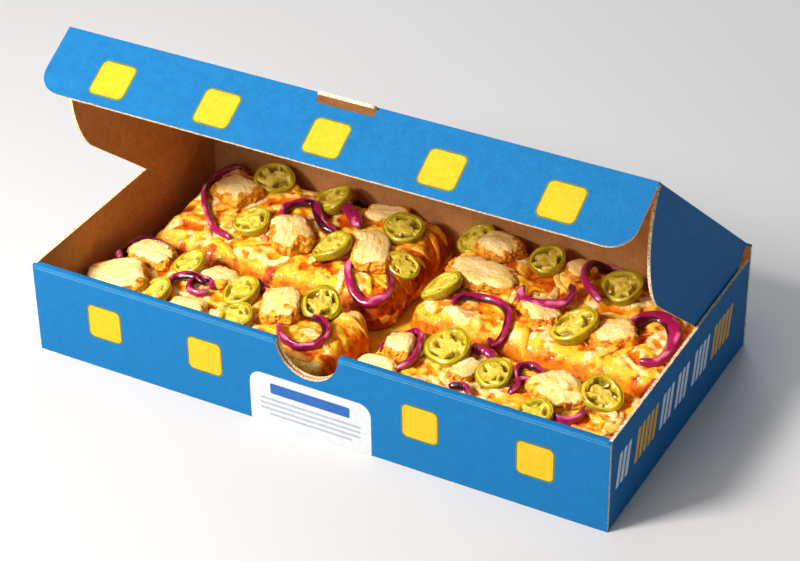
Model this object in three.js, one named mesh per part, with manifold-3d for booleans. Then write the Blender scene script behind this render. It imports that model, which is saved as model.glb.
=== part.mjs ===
// Pizza cut in four slabs, in its open cardboard box.
// Millimetres, +Z up, front towards -Y. The origin is the centre of the tray's footprint, on the table.
import * as THREE from 'three';
import { mergeVertices } from 'three/addons/utils/BufferGeometryUtils.js';
import Module from 'manifold-3d';

const wasm = await Module();
wasm.setup();

// ---- driving dimensions of the box
const TRAY = { width: 330, depth: 176, wall: 54, hinge: 62 };
const BOARD = 1.6;
const HALF_BOARD = BOARD / 2;
const FRONT_WALL = { thickness: 4.4, roundTop: 1.2 };
const NOTCH = { halfWidth: 18, depth: 19 };
const LID = { halfWidth: 162.8, length: 166, openDeg: 40.5, crease: 1.35 };
const TAB = { halfWidth: 15.8, reach: 4.3, corner: 1.6 };
const FRONT_FLAP = { height: 38, foldDeg: 70, corner: 13, slotHalfWidth: 16.3, slotDepth: 5.1 };
const SIDE_FLAP = { height: 51, back: 4.5, noseLength: 50, noseBack: 3, noseShape: 1.65, heel: 20 };
const GAP = 0.3;

// ---- driving dimensions of the food
const DOUGH = { bottom: BOARD + GAP, top: 15.7 };
const CHEESE = { bottom: DOUGH.top + GAP, top: 24 };
const TOPPING_FLOOR = CHEESE.top + GAP;
const CUT_GAP = 0.35;

// Each slab: its rectangle seen from above, and the radius of its corners in the order
// front left, front right, back right, back left. The corners at the middle of the box are rounder.
const SLABS = {
  back_left: { x: [-157, -4], y: [0.5, 84], corners: [10, 15, 6, 8] },
  back_right: { x: [5, 158], y: [0.5, 84], corners: [15, 8, 8, 6] },
  front_left: { x: [-158, -3], y: [-69, -3.5], corners: [8, 16, 22, 8] },
  front_right: { x: [6, 158], y: [-69, -3.5], corners: [12, 8, 8, 20] },
};

// Pickled pepper rings: centre, outer radius, thickness, and the tilt of the ring about X and Y in degrees.
const PEPPERS = [
  { at: [-114, 71], radius: 12.5, thick: 5.5, tilt: [16, 8] },
  { at: [-74, 69], radius: 12, thick: 5, tilt: [14, -22] },
  { at: [-105, 32], radius: 12.5, thick: 5, tilt: [10, -14] },
  { at: [-53, 30], radius: 13, thick: 5, tilt: [8, -26] },
  { at: [-25, 60], radius: 12, thick: 5.5, tilt: [14, 6] },
  { at: [-13, 36], radius: 10.5, thick: 4, tilt: [6, 18] },
  { at: [-114, -17], radius: 10.5, thick: 5, tilt: [12, -16] },
  { at: [-118, -47], radius: 10.5, thick: 5, tilt: [10, -14] },
  { at: [-76, -27], radius: 11.5, thick: 5.5, tilt: [12, -12] },
  { at: [-66, -49], radius: 11, thick: 5, tilt: [10, -10] },
  { at: [-31, -20], radius: 12, thick: 5, tilt: [12, 16] },
  { at: [14, 72], radius: 12, thick: 5, tilt: [16, -12] },
  { at: [17, 25], radius: 12.5, thick: 4.5, tilt: [6, -30] },
  { at: [58, 68], radius: 11, thick: 5.5, tilt: [14, 0] },
  { at: [95, 24], radius: 14, thick: 5.5, tilt: [10, -20] },
  { at: [104, 64], radius: 13, thick: 5, tilt: [12, -10] },
  { at: [46, -24], radius: 14, thick: 6, tilt: [10, -8] },
  { at: [76, -32], radius: 10.5, thick: 5.5, tilt: [12, 4] },
  { at: [132, -24], radius: 12, thick: 5.5, tilt: [14, 14] },
  { at: [109, -54], radius: 10.5, thick: 5, tilt: [14, -4] },
];

// Torn roast chicken: centre, length and width seen from above, height, and the turn about Z in degrees.
const CHICKEN = [
  { at: [-128, 54], size: [26, 22], height: 7, turn: -20 },
  { at: [-80, 32], size: [33, 23], height: 8, turn: -58 },
  { at: [-34, 38], size: [36, 22], height: 8, turn: -60 },
  { at: [-138, -17], size: [26, 19], height: 7, turn: -8 },
  { at: [-143, -45], size: [33, 27], height: 8, turn: 35 },
  { at: [-94, -19], size: [22, 15], height: 6, turn: -20 },
  { at: [-95, -51], size: [23, 15], height: 6, turn: 5 },
  { at: [-51, -28], size: [28, 22], height: 7, turn: -65 },
  { at: [29, 69], size: [26, 20], height: 8, turn: -15 },
  { at: [32, 44], size: [37, 24], height: 6, turn: 8 },
  { at: [73, 29], size: [23, 18], height: 6, turn: -35 },
  { at: [115, 29], size: [24, 19], height: 7, turn: 20 },
  { at: [22, -31], size: [22, 15], height: 6, turn: -68 },
  { at: [111, -30], size: [29, 25], height: 8, turn: -40 },
];

// Red onion strips: points along the middle of each strip seen from above, and its thickness.
const ONIONS = [
  { thick: 2.6, path: [[-139, 83], [-144, 74], [-150, 64]] },
  { thick: 2.6, path: [[-146, 61], [-147, 53], [-142, 42], [-133, 31], [-121, 20], [-109, 15]] },
  { thick: 3.4, path: [[-90, 41], [-96, 50], [-91, 59], [-83, 62], [-76, 55], [-69, 48], [-60, 46]] },
  { thick: 4, path: [[-61, 82], [-66, 75], [-63, 66], [-55, 60], [-49, 53]] },
  { thick: 3.2, path: [[-39, 28], [-35, 16], [-27, 6], [-17, 3], [-10, 9], [-11, 18], [-17, 27]] },
  { thick: 3, path: [[-133, -6], [-145, -5], [-154, -11], [-156, -22], [-150, -31]] },
  { thick: 3, path: [[-116, -39], [-115, -31], [-106, -27], [-98, -29]] },
  { thick: 3.2, path: [[-35, -29], [-24, -31], [-17, -39], [-17, -49], [-26, -55], [-37, -52], [-44, -43]] },
  { thick: 2.8, path: [[28, 14], [31, 23], [41, 28], [52, 26], [60, 18], [63, 7], [60, 0], [55, 4]] },
  { thick: 3.2, path: [[57, 41], [61, 32], [71, 31], [81, 36], [83, 45], [79, 52]] },
  { thick: 3, path: [[101, 80], [89, 80], [82, 73], [83, 62], [90, 53], [99, 46]] },
  { thick: 4.2, path: [[125, 31], [120, 40], [124, 49], [134, 51], [144, 43], [147, 31], [144, 18], [136, 14]] },
  { thick: 3, path: [[19, -23], [23, -16], [29, -20], [33, -32], [34, -42], [30, -49]] },
];
const PEPPER_HOLE = 0.34;
const ONION_HEIGHT = 5.2;
const ONION_STEP = 5.5;

// ---- colours
const paint = (color, roughness) => new THREE.MeshStandardMaterial({ color, roughness, metalness: 0 });
const boxBlue = paint(0x2f86c4, 0.6);
const bakedDough = paint(0xa9612a, 0.85);
const meltedCheese = paint(0xf0c56a, 0.55);
const pickledPepper = paint(0x98922a, 0.4);
const roastChicken = paint(0xf0d9a0, 0.7);
const redOnion = paint(0xb03a66, 0.35);

const pizzaBox = new THREE.Group();

const named = (name, geometry, material, parent = pizzaBox) => {
  const mesh = new THREE.Mesh(geometry, material);
  mesh.name = name;
  parent.add(mesh);
  return mesh;
};

// ---- solids
const toSolid = (geometry) => {
  const bare = geometry.clone();
  bare.deleteAttribute('normal');
  bare.deleteAttribute('uv');
  const merged = mergeVertices(bare, 1e-4);
  return new wasm.Manifold(new wasm.Mesh({
    numProp: 3,
    vertProperties: new Float32Array(merged.attributes.position.array),
    triVerts: new Uint32Array(merged.index.array),
  }));
};

const toGeometry = (solid) => {
  const mesh = solid.getMesh();
  const geometry = new THREE.BufferGeometry();
  geometry.setAttribute('position', new THREE.BufferAttribute(mesh.vertProperties, 3));
  geometry.setIndex(new THREE.BufferAttribute(mesh.triVerts, 1));
  return geometry;
};

const block = (x0, x1, y0, y1, z0, z1) => {
  const geometry = new THREE.BoxGeometry(x1 - x0, y1 - y0, z1 - z0);
  return geometry.translate((x0 + x1) / 2, (y0 + y1) / 2, (z0 + z1) / 2);
};

const slab = (shape, thickness, curveSegments = 8) => new THREE.ExtrudeGeometry(shape, {
  depth: thickness,
  bevelEnabled: false,
  curveSegments,
});

// A flat board cut to a shape in X and Y, its middle plane at z = 0.
const board = (shape, curveSegments) => slab(shape, BOARD, curveSegments).translate(0, 0, -HALF_BOARD);

// A round bead along X that closes a board's end at its crease.
const creaseBead = (halfWidth, y, z) => {
  const bead = new THREE.CylinderGeometry(HALF_BOARD, HALF_BOARD, 2 * halfWidth, 10);
  return bead.rotateZ(Math.PI / 2).translate(0, y, z);
};

// ---- the tray: base, plain side and back walls, and a front wall rolled over into two boards
const makeTray = () => {
  const halfWidth = TRAY.width / 2;
  const halfDepth = TRAY.depth / 2;
  const boards = [
    block(-halfWidth, halfWidth, -halfDepth, halfDepth, 0, BOARD),
    block(-halfWidth, -halfWidth + BOARD, -halfDepth, halfDepth, 0, TRAY.wall),
    block(halfWidth - BOARD, halfWidth, -halfDepth, halfDepth, 0, TRAY.wall),
    block(-halfWidth, halfWidth, halfDepth - BOARD, halfDepth, 0, TRAY.hinge),
    creaseBead(halfWidth, halfDepth - HALF_BOARD, TRAY.hinge),
    rolledWall(halfWidth, halfDepth),
  ];
  const whole = boards.map(toSolid).reduce((tray, piece) => tray.add(piece));
  return toGeometry(whole.subtract(toSolid(notchCutter(halfDepth))));
};

// The rolled wall's section in Y and Z, run along X: rounded over the top, hollow between its two boards.
const rolledWall = (halfWidth, halfDepth) => {
  const { thickness, roundTop } = FRONT_WALL;
  const section = new THREE.Shape();
  section.moveTo(0, 0);
  section.lineTo(thickness, 0);
  section.lineTo(thickness, TRAY.wall - roundTop);
  section.absarc(thickness - roundTop, TRAY.wall - roundTop, roundTop, 0, Math.PI / 2);
  section.lineTo(roundTop, TRAY.wall);
  section.absarc(roundTop, TRAY.wall - roundTop, roundTop, Math.PI / 2, Math.PI);
  const hollow = new THREE.Path();
  hollow.moveTo(BOARD, 2 * BOARD);
  hollow.lineTo(BOARD, TRAY.wall - BOARD);
  hollow.lineTo(thickness - BOARD, TRAY.wall - BOARD);
  hollow.lineTo(thickness - BOARD, 2 * BOARD);
  section.holes.push(hollow);
  const run = 2 * (halfWidth - HALF_BOARD);
  const wall = slab(section, run, 4);
  const toYZ = new THREE.Matrix4().makeBasis(
    new THREE.Vector3(0, 1, 0),
    new THREE.Vector3(0, 0, 1),
    new THREE.Vector3(1, 0, 0),
  );
  return wall.applyMatrix4(toYZ).translate(-run / 2, -halfDepth, 0);
};

// A half oval for the thumb, deep in Y so that it passes both boards of the rolled wall.
const notchCutter = (halfDepth) => {
  const { halfWidth, depth } = NOTCH;
  const above = TRAY.wall + depth;
  const oval = new THREE.Shape();
  oval.moveTo(halfWidth, above);
  oval.lineTo(-halfWidth, above);
  oval.lineTo(-halfWidth, TRAY.wall);
  oval.absellipse(0, TRAY.wall, halfWidth, depth, Math.PI, 2 * Math.PI);
  const reach = 3 * FRONT_WALL.thickness;
  const cutter = slab(oval, reach, 16).rotateX(Math.PI / 2);
  return cutter.translate(0, -halfDepth + reach - FRONT_WALL.thickness, 0);
};

named('tray', makeTray(), boxBlue);

// ---- the lid, hinged on the back wall's top edge; its own frame has the hinge axis along X
const lid = new THREE.Group();
lid.position.set(0, TRAY.depth / 2 - HALF_BOARD, TRAY.hinge);
lid.rotation.x = -THREE.MathUtils.degToRad(LID.openDeg);
pizzaBox.add(lid);

const makeLidPanel = () => {
  const { halfWidth, length, crease } = LID;
  const panel = block(-halfWidth, halfWidth, -length, -crease, -HALF_BOARD, HALF_BOARD);
  const bead = creaseBead(halfWidth, -length, 0);
  const tip = -(length + TAB.reach);
  const outline = new THREE.Shape();
  outline.moveTo(-TAB.halfWidth, -length);
  outline.lineTo(-TAB.halfWidth, tip + TAB.corner);
  outline.absarc(-TAB.halfWidth + TAB.corner, tip + TAB.corner, TAB.corner, Math.PI, 1.5 * Math.PI);
  outline.lineTo(TAB.halfWidth - TAB.corner, tip);
  outline.absarc(TAB.halfWidth - TAB.corner, tip + TAB.corner, TAB.corner, 1.5 * Math.PI, 2 * Math.PI);
  outline.lineTo(TAB.halfWidth, -length);
  return toGeometry([panel, bead, board(outline, 3)].map(toSolid).reduce((all, piece) => all.add(piece)));
};
named('lid', makeLidPanel(), boxBlue, lid);

// A side flap hangs from the lid's edge: a straight lower edge, a round heel at the hinge,
// and a nose that curves up to the front corner as a superellipse.
const makeSideFlap = () => {
  const top = HALF_BOARD + GAP;
  const { height, back, noseLength, noseBack, noseShape, heel } = SIDE_FLAP;
  const outline = new THREE.Shape();
  outline.moveTo(back, top);
  outline.lineTo(back, height - heel);
  outline.absarc(back + heel, height - heel, heel, Math.PI, Math.PI / 2, true);
  const noseStart = LID.length - noseBack - noseLength;
  const noseSteps = 12;
  for (let step = 0; step <= noseSteps; step += 1) {
    const angle = (Math.PI / 2) * (1 - step / noseSteps);
    const along = noseStart + noseLength * Math.cos(angle) ** (2 / noseShape);
    const down = top + (height - top) * Math.sin(angle) ** (2 / noseShape);
    outline.lineTo(along, down);
  }
  const toLidFrame = new THREE.Matrix4().makeBasis(
    new THREE.Vector3(0, -1, 0),
    new THREE.Vector3(0, 0, -1),
    new THREE.Vector3(1, 0, 0),
  );
  return slab(outline, BOARD, 5).applyMatrix4(toLidFrame);
};
named('left_flap', makeSideFlap(), boxBlue, lid).position.x = -LID.halfWidth;
named('right_flap', makeSideFlap(), boxBlue, lid).position.x = LID.halfWidth - BOARD;

// ---- the front flap, folded down from the lid's front edge, with the hole that the tab was cut from
const flapFold = new THREE.Group();
flapFold.position.y = -LID.length;
flapFold.rotation.x = THREE.MathUtils.degToRad(FRONT_FLAP.foldDeg);
lid.add(flapFold);

const makeFrontFlap = () => {
  const { height, corner, slotHalfWidth, slotDepth } = FRONT_FLAP;
  const side = LID.halfWidth;
  const slotCorner = 1.8;
  const outline = new THREE.Shape();
  outline.moveTo(-side, -LID.crease);
  outline.lineTo(-side, -height + corner);
  outline.absarc(-side + corner, -height + corner, corner, Math.PI, 1.5 * Math.PI);
  outline.lineTo(side - corner, -height);
  outline.absarc(side - corner, -height + corner, corner, 1.5 * Math.PI, 2 * Math.PI);
  outline.lineTo(side, -LID.crease);
  outline.lineTo(slotHalfWidth, -LID.crease);
  outline.lineTo(slotHalfWidth, -slotDepth + slotCorner);
  outline.absarc(slotHalfWidth - slotCorner, -slotDepth + slotCorner, slotCorner, 0, -Math.PI / 2, true);
  outline.lineTo(-slotHalfWidth + slotCorner, -slotDepth);
  outline.absarc(-slotHalfWidth + slotCorner, -slotDepth + slotCorner, slotCorner, -Math.PI / 2, -Math.PI, true);
  outline.lineTo(-slotHalfWidth, -LID.crease);
  return board(outline, 5);
};
named('front_flap', makeFrontFlap(), boxBlue, flapFold);

// ---- the pizza: closed lofts through rings of equal point counts
const loft = (rings) => {
  const count = rings[0].length;
  const points = rings.flat();
  const indices = [];
  for (let level = 0; level < rings.length - 1; level += 1) {
    for (let i = 0; i < count; i += 1) {
      const next = (i + 1) % count;
      const a = level * count + i;
      const b = level * count + next;
      indices.push(a, b, b + count, a, b + count, a + count);
    }
  }
  const cap = (ring, offset, upward) => {
    const centre = ring.reduce((sum, p) => sum.add(p), new THREE.Vector3()).divideScalar(count);
    const middle = points.push(centre) - 1;
    for (let i = 0; i < count; i += 1) {
      const pair = [offset + i, offset + ((i + 1) % count)];
      indices.push(middle, ...(upward ? pair : pair.reverse()));
    }
  };
  cap(rings[0], 0, false);
  cap(rings.at(-1), (rings.length - 1) * count, true);
  const geometry = new THREE.BufferGeometry().setFromPoints(points);
  geometry.setIndex(indices);
  return geometry;
};

// A rectangle with four corner radii, drawn in by an inset, with a slight waver along its sides.
const slabRing = ({ x, y, corners }, inset, z) => {
  const ring = [];
  const cornerSteps = 5;
  const sideSteps = 3;
  const signs = [[-1, -1], [1, -1], [1, 1], [-1, 1]];
  const rounds = signs.map(([sx, sy], k) => {
    const radius = Math.max(corners[k] - inset, 1);
    const centre = [
      sx < 0 ? x[0] + inset + radius : x[1] - inset - radius,
      sy < 0 ? y[0] + inset + radius : y[1] - inset - radius,
    ];
    return { radius, centre, start: Math.PI * (1 + k / 2) };
  });
  const pointOn = ({ radius, centre, start }, part) => {
    const angle = start + (part * Math.PI) / 2;
    return new THREE.Vector3(centre[0] + radius * Math.cos(angle), centre[1] + radius * Math.sin(angle), z);
  };
  rounds.forEach((round, k) => {
    for (let step = 0; step < cornerSteps; step += 1) {
      ring.push(pointOn(round, step / (cornerSteps - 1)));
    }
    const from = pointOn(round, 1);
    const to = pointOn(rounds[(k + 1) % 4], 0);
    for (let step = 1; step <= sideSteps; step += 1) {
      const part = step / (sideSteps + 1);
      const point = from.clone().lerp(to, part);
      const waver = 0.6 * Math.sin(part * 9 + 2 * k + x[0]);
      const outward = new THREE.Vector3(Math.sin((k * Math.PI) / 2), -Math.cos((k * Math.PI) / 2), 0);
      ring.push(point.addScaledVector(outward, waver - 0.6));
    }
  });
  return ring;
};

const doughLevels = [[2, DOUGH.bottom], [0.5, DOUGH.bottom + 3], [0, DOUGH.top - 3], [0.6, DOUGH.top]];
const cheeseLevels = [[0.6, CHEESE.bottom], [1, 18], [2.6, 20.6], [5.2, 22.9], [9, CHEESE.top]];
for (const [place, outline] of Object.entries(SLABS)) {
  named(`dough_${place}`, loft(doughLevels.map(([inset, z]) => slabRing(outline, inset, z))), bakedDough);
  named(`cheese_${place}`, loft(cheeseLevels.map(([inset, z]) => slabRing(outline, inset, z))), meltedCheese);
}

// ---- toppings: each is made about its own centre, then set down on the cheese
const settle = (mesh, [x, y]) => {
  mesh.updateMatrix();
  mesh.geometry.computeBoundingBox();
  const turned = mesh.geometry.clone().applyMatrix4(new THREE.Matrix4().makeRotationFromEuler(mesh.rotation));
  turned.computeBoundingBox();
  mesh.position.set(x, y, TOPPING_FLOOR - turned.boundingBox.min.z);
};

const pepperRing = (radius, thick, hole) => {
  const profile = [
    [hole, 0.3],
    [0.85 * radius, 0.5],
    [radius, 0.18],
    [radius, -0.18],
    [0.85 * radius, -0.5],
    [hole, -0.3],
    [hole, 0.3],
  ];
  const points = profile.map(([r, h]) => new THREE.Vector2(r, -h * thick));
  return new THREE.LatheGeometry(points, 11).rotateX(Math.PI / 2);
};

// A torn lump: an oval with a ragged outline, bulging at half height.
const chickenLump = (length, width, height, seed) => {
  const around = 10;
  const levels = [[0.86, 0], [1, 0.35], [0.94, 0.75], [0.66, 1]];
  const rings = levels.map(([scale, level]) => Array.from({ length: around }, (_, i) => {
    const angle = (2 * Math.PI * i) / around;
    const squareness = 1 / Math.max(Math.abs(Math.cos(angle)), Math.abs(Math.sin(angle))) ** 0.55;
    const ragged = 1 + 0.07 * Math.sin(3 * angle + seed) + 0.05 * Math.sin(5 * angle + 2 * seed);
    const reach = 0.46 * scale * squareness * ragged;
    return new THREE.Vector3(length * reach * Math.cos(angle), width * reach * Math.sin(angle), level * height);
  }));
  return loft(rings);
};

// A strip with a slightly hollow section, run along its path on edge.
const onionStrip = (path, thick) => {
  const curve = new THREE.CatmullRomCurve3(path.map(([x, y]) => new THREE.Vector3(x, y, 0)));
  const section = new THREE.Shape([
    new THREE.Vector2(-0.5 * ONION_HEIGHT, 0),
    new THREE.Vector2(-0.2 * ONION_HEIGHT, -0.5 * thick),
    new THREE.Vector2(0.25 * ONION_HEIGHT, -0.5 * thick),
    new THREE.Vector2(0.5 * ONION_HEIGHT, -0.1 * thick),
    new THREE.Vector2(0.25 * ONION_HEIGHT, 0.45 * thick),
    new THREE.Vector2(-0.25 * ONION_HEIGHT, 0.5 * thick),
  ]);
  const steps = Math.max(4, Math.round(curve.getLength() / ONION_STEP));
  return new THREE.ExtrudeGeometry(section, { extrudePath: curve, steps, bevelEnabled: false });
};

// Where two toppings meet, the lower one is cut back to a fine gap around the one that lies on it.
const placed = (geometry, mesh) => toSolid(geometry.clone().applyMatrix4(mesh.matrixWorld));
const cutAround = (mesh, cutters) => {
  mesh.updateMatrixWorld(true);
  let solid = placed(mesh.geometry, mesh);
  for (const cutter of cutters) {
    solid = solid.subtract(cutter);
  }
  const largest = solid.decompose().sort((a, b) => b.volume() - a.volume())[0];
  const geometry = toGeometry(largest);
  mesh.geometry = geometry.applyMatrix4(mesh.matrixWorld.clone().invert());
};

const onionCutters = ONIONS.map(({ thick, path }, i) => {
  const strip = named(`onion_${i + 1}`, onionStrip(path, thick), redOnion);
  settle(strip, [0, 0]);
  strip.updateMatrixWorld(true);
  const wide = onionStrip(path, thick + 2 * CUT_GAP).scale(1, 1, 1 + (2 * CUT_GAP) / ONION_HEIGHT);
  return placed(wide, strip);
});

const pepperCutters = PEPPERS.map(({ at, radius, thick, tilt }, i) => {
  const ring = named(`pepper_${i + 1}`, pepperRing(radius, thick, PEPPER_HOLE * radius), pickledPepper);
  ring.rotation.set(...tilt.map(THREE.MathUtils.degToRad), 0);
  settle(ring, at);
  cutAround(ring, onionCutters);
  return placed(pepperRing(radius + CUT_GAP, thick + 2 * CUT_GAP, PEPPER_HOLE * radius - CUT_GAP), ring);
});

CHICKEN.forEach(({ at, size, height, turn }, i) => {
  const lump = named(`chicken_${i + 1}`, chickenLump(...size, height, i + 1), roastChicken);
  lump.rotation.z = THREE.MathUtils.degToRad(turn);
  settle(lump, at);
  cutAround(lump, [...onionCutters, ...pepperCutters]);
});

export default pizzaBox;
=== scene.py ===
# %% [markdown]
# # A pizza in its open box
# The box is one sheet of thin corrugated board, printed outside and bare kraft inside, folded into
# a tray with a hinged lid. In it lie four slabs of baked pizza with peppers, chicken and red onion.
# Everything is worked out in millimetres and turned into metres as it goes into a mesh.

import bpy
import numpy as np
from mathutils import Matrix, Vector


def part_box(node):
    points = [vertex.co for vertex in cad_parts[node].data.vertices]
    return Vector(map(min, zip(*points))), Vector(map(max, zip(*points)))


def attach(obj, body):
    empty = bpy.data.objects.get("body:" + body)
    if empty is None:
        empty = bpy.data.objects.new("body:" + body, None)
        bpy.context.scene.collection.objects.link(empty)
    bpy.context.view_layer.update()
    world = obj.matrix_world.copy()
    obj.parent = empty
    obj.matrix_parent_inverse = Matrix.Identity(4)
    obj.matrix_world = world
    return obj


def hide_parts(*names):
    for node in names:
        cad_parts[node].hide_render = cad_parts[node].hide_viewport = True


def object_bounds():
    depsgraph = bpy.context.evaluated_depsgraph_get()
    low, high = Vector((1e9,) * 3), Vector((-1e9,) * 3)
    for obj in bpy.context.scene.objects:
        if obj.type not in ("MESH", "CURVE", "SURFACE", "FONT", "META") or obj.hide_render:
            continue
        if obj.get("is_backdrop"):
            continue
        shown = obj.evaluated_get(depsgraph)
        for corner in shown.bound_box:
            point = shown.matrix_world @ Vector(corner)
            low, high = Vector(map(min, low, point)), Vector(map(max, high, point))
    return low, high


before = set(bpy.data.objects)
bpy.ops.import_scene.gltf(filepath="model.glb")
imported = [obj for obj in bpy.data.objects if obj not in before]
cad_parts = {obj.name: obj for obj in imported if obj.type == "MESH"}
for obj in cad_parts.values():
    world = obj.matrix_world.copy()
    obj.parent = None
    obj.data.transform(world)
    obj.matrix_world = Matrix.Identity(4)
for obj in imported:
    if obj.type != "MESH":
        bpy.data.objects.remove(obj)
cad_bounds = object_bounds()
MM = 0.001


def add_object(name, data):
    """A new object in the scene that carries the given data."""
    thing = bpy.data.objects.new(name, data)
    bpy.context.scene.collection.objects.link(thing)
    return thing


def box_mm(node):
    """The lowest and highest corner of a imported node, in millimetres."""
    low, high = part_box(node)
    return np.array(low) / MM, np.array(high) / MM


TRAY_LOW, TRAY_HIGH = box_mm("tray")
print("tray from", TRAY_LOW.round(1), "to", TRAY_HIGH.round(1))

# %% [markdown]
# ## Camera, floor and light
# A long lens from the front right, a little over the lid's edge, keeps the box's edges nearly
# parallel. One large soft lamp stands at the front left, so the right wall falls into shade, and a
# weak one from the right keeps that shade open.

# %% Camera
EYE = np.array([524.0, -941.5, 776.0])
AIM = np.array([-5.4, 19.1, 28.4])
LENS = 112.2
ROLL = 0.89


def make_camera():
    """A camera at EYE whose view axis runs through AIM, turned by ROLL degrees about that axis."""
    data = bpy.data.cameras.new("camera")
    data.lens = LENS
    data.sensor_width = 36
    data.clip_start = 0.01
    camera = add_object("camera", data)
    axis = Vector((AIM - EYE).tolist())
    turn = axis.to_track_quat("-Z", "Y").to_matrix() @ Matrix.Rotation(np.radians(-ROLL), 3, "Z")
    camera.matrix_world = Matrix.Translation(Vector((EYE * MM).tolist())) @ turn.to_4x4()
    bpy.context.scene.camera = camera


make_camera()
print("camera at", (EYE * MM).round(3))

# %% Lamps and the air around them
LIT = Vector((0, 0, 0.04))
LAMPS = {
    "key": {"at": (-0.52, -0.82, 0.82), "size": 0.3, "watts": 28, "tint": (1.0, 0.955, 0.89)},
    "front": {"at": (-0.1, -1.25, 0.62), "size": 0.8, "watts": 4, "tint": (1.0, 0.96, 0.9)},
    "back": {"at": (-0.45, 1.25, 0.95), "size": 0.9, "watts": 11, "tint": (0.96, 0.98, 1.0)},
    "top": {"at": (-0.1, -0.35, 1.3), "size": 0.8, "watts": 5, "tint": (1.0, 0.97, 0.93)},
    "side": {"at": (1.25, 0.3, 0.5), "size": 0.6, "watts": 1.6, "tint": (0.4, 0.66, 1.0)},
}


def make_lamp(name, at, size, watts, tint):
    """A square lamp of the given size that points at the middle of the pizza."""
    data = bpy.data.lights.new(name, "AREA")
    data.size = size
    data.energy = watts
    data.color = tint
    lamp = add_object(name, data)
    lamp.location = at
    lamp.rotation_euler = (LIT - Vector(at)).to_track_quat("-Z", "Y").to_euler()


for lamp_name, lamp in LAMPS.items():
    make_lamp(lamp_name, **lamp)
world = bpy.data.worlds.new("studio")
bpy.context.scene.world = world
world.use_nodes = True
sky = world.node_tree.nodes["Background"].inputs
sky["Color"].default_value = (0.9, 0.95, 1.0, 1)
sky["Strength"].default_value = 0.13
bpy.context.scene.view_settings.view_transform = "Standard"
print("lamps:", ", ".join(LAMPS))

# %% Floor
FLOOR_HALF, FLOOR_Z = 2.5, -0.0002


def make_floor():
    """A plain pale square just under the box."""
    mesh = bpy.data.meshes.new("floor")
    ways = ((-1, -1), (1, -1), (1, 1), (-1, 1))
    corners = [(x * FLOOR_HALF, y * FLOOR_HALF, FLOOR_Z) for x, y in ways]
    mesh.from_pydata(corners, [], [(0, 1, 2, 3)])
    finish = bpy.data.materials.new("pale_floor")
    finish.use_nodes = True
    shader = finish.node_tree.nodes["Principled BSDF"]
    shader.inputs["Base Color"].default_value = (0.5, 0.5, 0.51, 1)
    shader.inputs["Roughness"].default_value = 0.9
    mesh.materials.append(finish)
    add_object("floor", mesh)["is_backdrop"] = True


make_floor()

# %% [markdown]
# ## Helpers for meshes
# A shape here is a grid of points: rows and columns of a surface, worked out as whole arrays. The
# helpers join neighbouring points with four-sided faces, close a ring with a fan of triangles, and
# put the arrays into a mesh.


# %% Grids to faces
def stack(*parts):
    """Numbers or arrays, spread to one shape and joined along a new last axis."""
    return np.stack(np.broadcast_arrays(*parts), -1)


def circle(count):
    """Angles evenly spaced around a full turn."""
    return np.linspace(0, 2 * np.pi, count, endpoint=False)


def grid_faces(rows, cols, start=0, round_cols=False):
    """Four-sided faces between neighbouring points of a grid that is stored row by row."""
    last = cols if round_cols else cols - 1
    r, c = np.meshgrid(np.arange(rows - 1), np.arange(last), indexing="ij")
    after = (c + 1) % cols
    r, below = r * cols, (r + 1) * cols
    quads = stack(r + c, r + after, below + after, below + c)
    return quads.reshape(-1, 4) + start


def fan_faces(ring, middle, flip=False):
    """Triangles from each step of a closed ring of point numbers to one middle point."""
    after = np.roll(ring, -1)
    tips = np.full(len(ring), middle)
    return stack(after, ring, tips) if flip else stack(ring, after, tips)


def grid_ring(rows, cols):
    """Point numbers around a grid's border, in order."""
    number = np.arange(rows * cols).reshape(rows, cols)
    return np.concatenate([number[0], number[1:, -1], number[-1, -2::-1], number[-2:0:-1, 0]])


class Shape:
    """Points, faces, sheet map and per-point values of a piece that grows patch by patch."""

    def __init__(self):
        self.points = []
        self.faces = []
        self.paint = []
        self.values = {}
        self.flat = []
        self.count = 0

    def add_points(self, points, uv=None, **values):
        """Stores an array of points (any grid shape, last axis 3) and returns the first's number."""
        points = np.asarray(points, float).reshape(-1, 3)
        start = self.count
        self.points.append(points)
        uv = np.zeros((len(points), 2)) if uv is None else np.asarray(uv).reshape(-1, 2)
        self.flat.append(uv)
        for key in set(self.values) | set(values):
            column = self.values.setdefault(key, [np.zeros(start)] if start else [])
            value = values.get(key, 0.0)
            column.append(np.broadcast_to(value, points.shape[:1]) if np.ndim(value) == 0
                          else np.asarray(value, float).reshape(-1))
        self.count += len(points)
        return start

    def add_faces(self, faces, paint=0):
        """Stores faces as point numbers, with the number of the finish that they take."""
        self.faces.append(np.asarray(faces))
        self.paint.append(np.full(len(faces), paint))

    def add_tube(self, rings, **values):
        """A closed skin over rings of points (rows, columns, 3), each end closed by a fan."""
        rows, cols = rings.shape[:2]
        start = self.add_points(rings, **values)
        self.add_faces(grid_faces(rows, cols, start, True))
        for row, flip in ((0, True), (rows - 1, False)):
            ends = {k: float(np.mean(np.asarray(v).reshape(rows, cols)[row])) if np.ndim(v) else v
                    for k, v in values.items()}
            middle = self.add_points(rings[row].mean(0), **ends)
            ring = start + row * cols + np.arange(cols)
            self.add_faces(fan_faces(ring, middle, flip))


# %% Shapes to pieces
def signed_volume(points, faces):
    """A sixth of the sum of each triangle's corner products: above zero if faces point outwards."""
    corners = [points[faces[:, k]] for k in range(faces.shape[1])]
    total = 0.0
    for k in range(1, faces.shape[1] - 1):
        total += np.einsum("ij,ij->i", corners[0], np.cross(corners[k], corners[k + 1])).sum()
    return total / 6


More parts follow.
